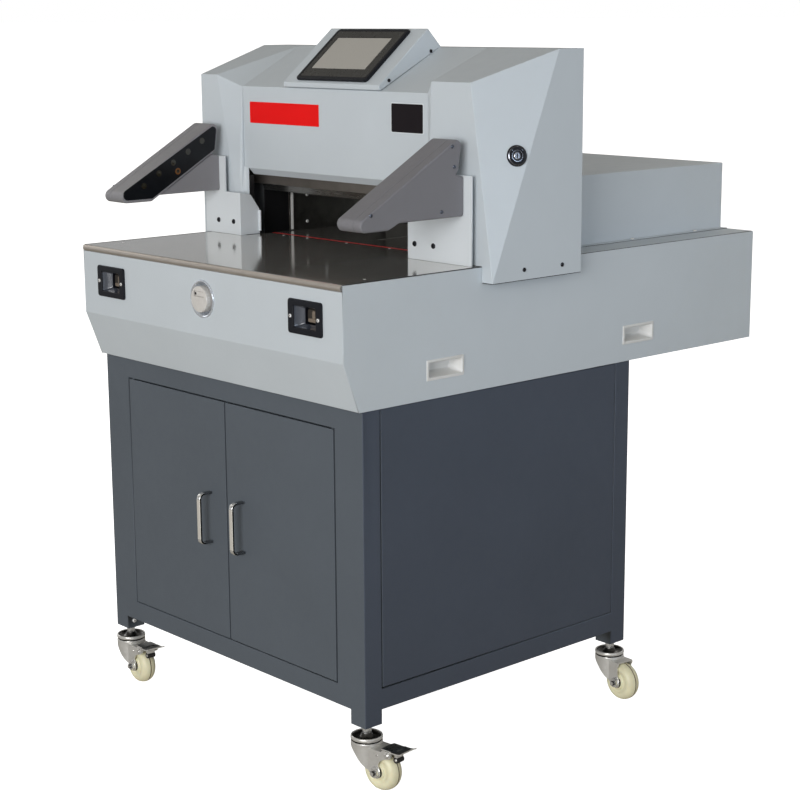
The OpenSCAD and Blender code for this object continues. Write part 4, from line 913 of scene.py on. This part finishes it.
g = Geo()
tabo = rrect(tab_x1 - tab_x0 + 0.8, 9.0, 1.4, 4, (tab_x0 + tab_x1) / 2 - 0.4, tab_z)
slab(g, tabo, FYN, edge_prof(5.75, 8.65, 0.7, 3, 0.4))
g.lathe([(0, -8.4), (0.95, -8.4), (0.95, 8.4), (0, 8.4)], (tab_x0, -7.2, tab_z), AX_Z, 20, 1)
g.lathe([(0, 0), (2.7, 0), (2.7, 0.25), (2.1, 0.45), (0, 0.45)], (tab_x0 + 2.2, -8.6, tab_z), axes((0, -1, 0)), 24, 1)
build("wheel_tab_lever", g, [DISC, OXIDE], "wheel_tab", ("handwheel_tab",))

# ------------------------------------------------------------------ light-barrier arms
ARM_FULL = [(32.6, 976.5, 12.4), (131, 976.5, 12), (156, 987.3, 12), (307.9, 987.7, 5), (307.9, 1057.8, 5), (290.5, 1061.2, 1.5), (296.2, 1070, 6), (306.3, 1132, 11)]
ARM_BAR = [(32.6, 976.5, 12.4), (137.6, 976.5, 10), (295.7, 1067.4, 6), (306.3, 1132, 11)]
ARM_GUS = [(137.6, 978, 1), (156, 987.3, 8), (307.9, 987.7, 5), (307.9, 1057.8, 5), (293, 1060, 1), (290.5, 1064.0, 1)]
ARM_WIN = [(39.2, 981.9, 10.5), (138.7, 982.3, 5), (293.6, 1070.6, 4), (300.9, 1123.4, 8)]


def flip(pts):
    return [(-p[0], p[1]) for p in pts][::-1]


g_in, g_out, g_win, g_spot = Geo(), Geo(), Geo(), Geo()
full, bar, gus, win = round_poly(ARM_FULL, 8), round_poly(ARM_BAR, 10), round_poly(ARM_GUS, 5), round_poly(ARM_WIN, 8)
lens = [(262.8, 1089.4), (227.6, 1069.5), (191.1, 1049.9), (155.7, 1030.5), (119.3, 1008.0)]
amber = (201.6, 1032.2)
for side in ("l", "r"):
    # inward direction: +X for the left arm, -X for the right one
    if side == "l":
        fr, tr = FX, lambda p: p
        seam, inner, gin, outer = -392.1, -350.3, -354.5, -411.8
        sg = 1.0
    else:
        fr, tr = FXN, flip
        seam, inner, gin, outer = -340.1, -298.3, -302.5, -359.8
        sg = -1.0
    # the left arm takes the lighter copy of the arm paint as painted light
    am = 0 if side == "l" else 1
    slab(g_in, tr(bar), fr, edge_prof(seam + 0.25, inner, 2.2, 4, 1.1), am)
    slab(g_in, tr(gus), fr, edge_prof(seam + 0.3, gin, 1.6, 3, 0.6), am)
    ofr = FXN if side == "l" else FX
    otr = flip if side == "l" else (lambda p: p)
    slab(g_out, otr(full), ofr, edge_prof(-seam + 0.25, -outer, 3.6, 5, 1.1), am)
    slab(g_win, tr(win), fr, [(0.0, inner - 0.6), (0.0, inner + 0.35), (0.45, inner + 0.8), (1.6, inner + 0.9)])
    for y, z in lens:
        oo = (sg * (inner + 0.9), y, z)
        g_spot.lathe([(0, 0.02), (6.2, 0.02), (6.2, 0.10), (5.6, 0.16), (3.4, 0.10), (3.0, 0.22), (0, 0.34)], oo, axes((sg, 0, 0)), 32, 0)
    g_spot.lathe([(0, 0.02), (6.6, 0.02), (6.6, 0.12), (6.0, 0.2), (3.6, 0.16), (3.2, 0.08), (0, 0.08)], (sg * (inner + 0.9), amber[0], amber[1]), axes((sg, 0, 0)), 36, [1, 1, 1, 1, 0, 0])
build("arm_inner_shells", g_in, [ARM_LEFT_PAINTED_LIGHT, ARM], "machine", ("sensor_arms",))
build("arm_outer_shells", g_out, [ARM_LEFT_PAINTED_LIGHT, ARM], "machine", ("arm_covers",))
build("arm_window_panes", g_win, [WINDOW], "machine", ("arm_windows",))
build("arm_lenses", g_spot, [SPOT, AMBER], "machine", ())

# ------------------------------------------------------------------ touch panel on the console
ca = math.atan2(1310 - 1208, 457 - 332)
cu, cv = Vector((1, 0, 0)), Vector((0, math.cos(ca), math.sin(ca)))
cn = Vector((0, -math.sin(ca), math.cos(ca)))
co = Vector((0, 332.0, 1208.0))


def con_ring(w, h, r, lift, cx, cy):
    return [co + cu * p[0] + cv * p[1] + cn * lift for p in rrect(w, h, r, 6, cx, cy)]


g = Geo()
pcx, pcy = -32.0, 79.5
scx, scy = -36.0, 81.5
g.rings([con_ring(192, 88, 1, -14.8, -32.0, 104.2), con_ring(192, 88, 1, 0.02, -32.0, 104.2), con_ring(206, 145, 7, 0.06, pcx, pcy), con_ring(208, 147, 7.6, 1.2, pcx, pcy),
         con_ring(208, 147, 7.6, 4.4, pcx, pcy), con_ring(207, 146, 7.2, 5.4, pcx, pcy), con_ring(204.6, 143.6, 6.4, 6.0, pcx, pcy), con_ring(193.0, 132.0, 4.2, 6.0, pcx, pcy),
         con_ring(191.4, 130.4, 3.8, 5.65, pcx, pcy), con_ring(158.4, 91.4, 1.6, 5.65, scx, scy), con_ring(157.0, 90.0, 1.0, 5.2, scx, scy)],
        [0, 0, 0, 0, 0, 0, 0, 0, 1, 0])
build("console_bezel", g, [BLACK, BEZEL], "machine", ("touch_panel",), sharp=36)
g = Geo()
g.rings([con_ring(156, 89, 0.8, 5.12, scx, scy), con_ring(156, 89, 0.8, 5.3, scx, scy), con_ring(155, 88, 0.8, 5.5, scx, scy)])
build("console_screen", g, [SCREEN], "machine", ("touch_screen",))

# ------------------------------------------------------------------ plates on the head
g = Geo()
slab(g, rrect(215, 42, 1.6, 5, -177.5, 1146.0), ((0, 337.0, 0), (1, 0, 0), (0, 0, 1), (0, -1, 0)), edge_prof(0.02, 1.2, 0.5, 3, 0.05))
build("nameplate_blank", g, [REDP], "machine", ("red_plate",))
g = Geo()
slab(g, rrect(88.6, 55.6, 3.6, 5, 182.0, 1150.5), ((0, 337.0, 0), (1, 0, 0), (0, 0, 1), (0, -1, 0)), edge_prof(0.02, 0.8, 0.35, 3, 0.05))
slab(g, rrect(85.0, 52.0, 2.6, 5, 182.0, 1150.5), ((0, 337.0, 0), (1, 0, 0), (0, 0, 1), (0, -1, 0)), edge_prof(0.7, 0.95, 0.1, 2, 0.02), 1)
build("label_blank", g, [BRACKET, DARKP], "machine", ("dark_plate",))

# ------------------------------------------------------------------ key switch on the right column
h_, w_, k_, bev = 1219 - 872, 487 - 322, 1275 - 872, 57
kn = Vector((h_ * w_, -bev * k_, bev * w_)).normalized()
kf = axes(kn)
ko = Vector((409, 389, 1091.5))
g = Geo()
g.lathe([(11.15, -1.9), (11.15, 3.6), (11.7, 4.3), (12.6, 4.7), (15.0, 4.9), (16.0, 4.5), (17.0, 3.5), (18.0, 3.1), (18.7, 2.6), (19.0, 1.6), (19.0, 0.0),
         (13.0, -0.05), (13.0, -11.0), (8.2, -11.0), (8.2, -2.0), (11.15, -1.9)], ko, kf, 64, [0, 0, 0, 0, 0, 1, 0, 0, 0, 0, 0, 0, 0, 0, 0])
for a in (45, 135):
    q = math.radians(a)
    d = kf[0] * math.cos(q) + kf[1] * math.sin(q)
    t = kf[0] * -math.sin(q) + kf[1] * math.cos(q)
    g.rings([[ko + d * (13.2 + x) + t * y + kn * z for x, y in ((0, -0.5), (1.9, -0.5), (1.9, 0.5), (0, 0.5))] for z in (4.6, 5.0)], 1)
build("lock_ring", g, [BLACK, LOCK], "machine", ("key_switch_ring",))
g = Geo()
seg = 72
slot_r = lambda a: min(1.0 / max(1e-6, abs(math.sin(a))), 4.6 / max(1e-6, abs(math.cos(a))))


def kring(fn, z):
    return [ko + kn * z + (kf[1] * math.cos(a) + kf[0] * math.sin(a)) * fn(a) for a in (2 * math.pi * i / seg for i in range(seg))]


g.rings([kring(lambda a: 8.0, -13.8), kring(lambda a: 8.0, -1.8), kring(lambda a: 10.95, -1.75), kring(lambda a: 10.95, 3.2), kring(lambda a: 10.5, 3.75), kring(lambda a: 9.5, 3.8),
         kring(lambda a: 9.0, 3.0), kring(lambda a: 8.6, 0.9), kring(lambda a: 6.1, 0.9), kring(lambda a: 5.9, 2.5), kring(lambda a: 5.2, 3.0), kring(slot_r, 3.0), kring(slot_r, 0.2)],
        [0, 0, 0, 0, 0, 2, 2, 2, 0, 1, 0, 2])
build("lock_cylinder", g, [LOCK, NUTZ, OXIDE], "key_lock", ("key_barrel",), sharp=30)

# ------------------------------------------------------------------ screws
g = Geo()
t = 0.3
for y in (401, 500):
    for s in (-1, 1):
        t += 0.7
        screw(g, (418 if s > 0 else -428, y, 890), (s, 0, 0), 4.0, 1.8, t, mats=(2, 1))
for y, z in ((463.5, 1268), (357, 1216.5)):
    for s in (-1, 1):
        t += 0.9
        screw(g, (110 if s > 0 else -171, y, z), (s, 0, 0), 3.4, 1.7, t, mats=(2, 1))
for y, z in ((279.6, 1111), (284.6, 1075.7), (253.8, 999.4), (90.5, 1005.4)):
    for s in (-1, 1):
        t += 0.5
        screw(g, (359.8 if s > 0 else -411.8, y, z), (s, 0, 0), 3.4, 1.7, t, mats=(3, 1))
for x in (-294, 294):
    for i in (-1, 1):
        t += 0.6
        screw(g, (x + i * 37, -4, 835), (0, -1, 0), 3.2, 1.7, t, mats=(4, 1))
for s in (-1, 1):
    for y in (620, 810, 1004):
        t += 0.8
        screw(g, (s * 318, y, 901.5), (0, 0, 1), 3.6, 1.8, t, mats=(4, 1))
    for z in (916, 971):
        t += 0.4
        screw(g, (-284 if s < 0 else 220, 479, z), (-s, 0, 0), 3.2, 1.7, t, mats=(4, 1))
for px, py in ((368.5, 62), (-368.5, 62), (368.5, 707), (-368.5, 707)):
    t += 0.7
    screw(g, (px + (-20 if px > 0 else 20), py - 4.7, 125.6), (-1 if px > 0 else 1, 0, 0), 4.2, 2.9, t, mats=(4, 1))
for x, z in ((-360.5, 926.5), (-310.4, 926.5), (231.9, 928.5), (281.4, 928.5)):
    t += 0.4
    screw(g, (x, 308, z), (0, -1, 0), 5.0, 2.3, t, "hex", mats=(2, 1))
for x, y in ((-229, 372), (-157, 374), (-38, 376), (85, 378), (361, 74), (-361, 74)):
    t += 0.4
    screw(g, (x, y, 899.7), (0, 0, 1), 2.6, 0.8, t, mats=(4, 1))
build("machine_screws", g, [ZINC, OXIDE, OXIDE, SCREWD, SCREWW], "machine", ("cover_screws",))

g = Geo()
for i in range(7):
    x = -270 + i * 75
    screw(g, (x, 360, 1040), (0, -1, 0), 8.0, 7.9, i * 0.4, "hex", mats=(0, 0))
    g.lathe([(0, 360), (4.95, 360), (4.95, 385.6), (0, 385.6)], (x, 0, 1040), AX_Y, 24)
build("knife_cap_screws", g, [OXIDE], "knife", ("knife_bolts",))

# lead screw with a real thread groove
g = Geo()
turns, step = 92, 8
rings = []
y0, y1 = 421.0, 1040.0
n = 620
prof = [(0, y0), (7.0, y0), (7.9, y0 + 1)]
k = y0 + 20
while k < y1 - 24:
    prof += [(7.9, k), (7.15, k + 1.2), (7.15, k + 3.0), (7.9, k + 4.2), (7.9, k + 5.0)]
    k += 5.0
prof += [(7.9, y1 - 1), (7.0, y1), (0, y1)]
g.lathe(prof, (-32.0, 0, 850.0), AX_Y, 24)
build("lead_screw_thread", g, [TOOL], "screw", ("lead_screw",), sharp=40, weighted=False)

# remaining CAD nodes keep their shape and take the matching finish
for n, ob in NODES.items():
    if ob.hide_render:
        continue
    ob.data.materials.clear()
    ob.data.materials.append(NODE_MAT[SLOT[n]])

# ------------------------------------------------------------------ floor, light and camera
fm, nt, b = _mat("floor_pale")
v = _coords(nt)
nt.links.new(_ramp(nt, _noise(nt, v, 1.3, 3.0), [(0.3, (0.90, 0.90, 0.90)), (0.7, (0.93, 0.93, 0.93))]), b.inputs["Base Color"])
b.inputs["Roughness"].default_value = 0.9
b.inputs["Specular IOR Level"].default_value = 0.1
b.inputs["Emission Color"].default_value = (1, 1, 1, 1)
b.inputs["Emission Strength"].default_value = 1.0
me = bpy.data.meshes.new("floor")
me.from_pydata([(-400, -400, -0.0005), (400, -400, -0.0005), (400, 400, -0.0005), (-400, 400, -0.0005)], [], [[0, 1, 2, 3]])
me.materials.append(fm)
floor = bpy.data.objects.new("floor", me)
scene.collection.objects.link(floor)
floor.visible_diffuse = False
floor.visible_glossy = False

world = bpy.data.worlds.new("studio")
scene.world = world
world.use_nodes = True
nt = world.node_tree
for n in list(nt.nodes):
    nt.nodes.remove(n)
out = nt.nodes.new("ShaderNodeOutputWorld")
bg = nt.nodes.new("ShaderNodeBackground")
tc = nt.nodes.new("ShaderNodeTexCoord")
sep = nt.nodes.new("ShaderNodeSeparateXYZ")
nt.links.new(tc.outputs["Generated"], sep.inputs[0])
rng = nt.nodes.new("ShaderNodeMapRange")
rng.inputs["From Min"].default_value = -1.0
rng.inputs["From Max"].default_value = 1.0
nt.links.new(sep.outputs["Z"], rng.inputs["Value"])
ramp = nt.nodes.new("ShaderNodeValToRGB")
el = ramp.color_ramp.elements
el[0].position, el[0].color = 0.0, (0.26, 0.225, 0.165, 1)
el[1].position, el[1].color = 1.0, (0.25, 0.233, 0.200, 1)
for pos, col in ((0.40, (0.30, 0.29, 0.27)), (0.485, (0.40, 0.415, 0.43)), (0.497, (1.0, 1.0, 1.0)), (0.505, (1.0, 1.0, 1.0)), (0.53, (0.41, 0.425, 0.44)), (0.66, (0.29, 0.28, 0.265))):
    e = el.new(pos)
    e.color = (*col, 1)
nt.links.new(rng.outputs["Result"], ramp.inputs["Fac"])
nt.links.new(ramp.outputs["Color"], bg.inputs["Color"])
bg.inputs["Strength"].default_value = 1.0
plain = nt.nodes.new("ShaderNodeBackground")
plain.inputs["Color"].default_value = (1, 1, 1, 1)
plain.inputs["Strength"].default_value = 1.0
path_ = nt.nodes.new("ShaderNodeLightPath")
both = nt.nodes.new("ShaderNodeMixShader")
nt.links.new(path_.outputs["Is Camera Ray"], both.inputs["Fac"])
nt.links.new(bg.outputs[0], both.inputs[1])
nt.links.new(plain.outputs[0], both.inputs[2])
nt.links.new(both.outputs[0], out.inputs[0])


def area(name, loc, target, size, power, color=(1, 1, 1), spread=180.0):
    l = bpy.data.lights.new(name, "AREA")
    l.shape = "RECTANGLE"
    l.size, l.size_y = size
    l.energy = power
    l.spread = math.radians(spread)
    l.color = color
    o = bpy.data.objects.new(name, l)
    o.location = loc
    o.rotation_mode = "QUATERNION"
    o.rotation_quaternion = (Vector(target) - Vector(loc)).to_track_quat("-Z", "Y")
    scene.collection.objects.link(o)
    return o


area("key", (2.9, -6.2, 1.9), (0, 0, 0.9), (3.6, 3.0), 280, (1.0, 1.0, 1.0))
area("fill_right", (3.4, -0.5, 1.25), (0.3, 0.0, 1.0), (1.6, 0.7), 1.25, (0.78, 0.94, 1.14), 46.0)
area("fill_left", (-4.4, -0.6, 2.2), (0, 0, 0.8), (2.6, 2.4), 40, (1.0, 1.0, 1.0))
area("fill_back", (-1.0, 4.6, 3.4), (0, 0, 0.8), (3.0, 2.4), 30, (1.0, 0.99, 0.97))

cam = bpy.data.cameras.new("camera")
cam.sensor_width = 36.0
cam.lens = 1817.119 * 36.0 / 800.0
co_ = bpy.data.objects.new("camera", cam)
scene.collection.objects.link(co_)
az, pt, ro = math.radians(47.86694944), math.radians(11.93415106), math.radians(-0.35123846)
back = Vector((math.sin(az) * math.cos(pt), -math.cos(az) * math.cos(pt), math.sin(pt)))
right = (-back).cross(Vector((0, 0, 1))).normalized()
up = right.cross(-back)
r2 = right * math.cos(ro) + up * math.sin(ro)
u2 = up * math.cos(ro) - right * math.sin(ro)
mw = Matrix((r2, u2, back)).transposed().to_4x4()
mw.translation = W((2648.526, -1917.521, 1333.633))
co_.matrix_world = mw
cam.shift_x = (400 - 399.572) / 800
cam.shift_y = (399.656 - 400) / 800
cam.clip_end = 2000
scene.camera = co_
scene.view_settings.view_transform = "Standard"
scene.view_settings.look = "None"
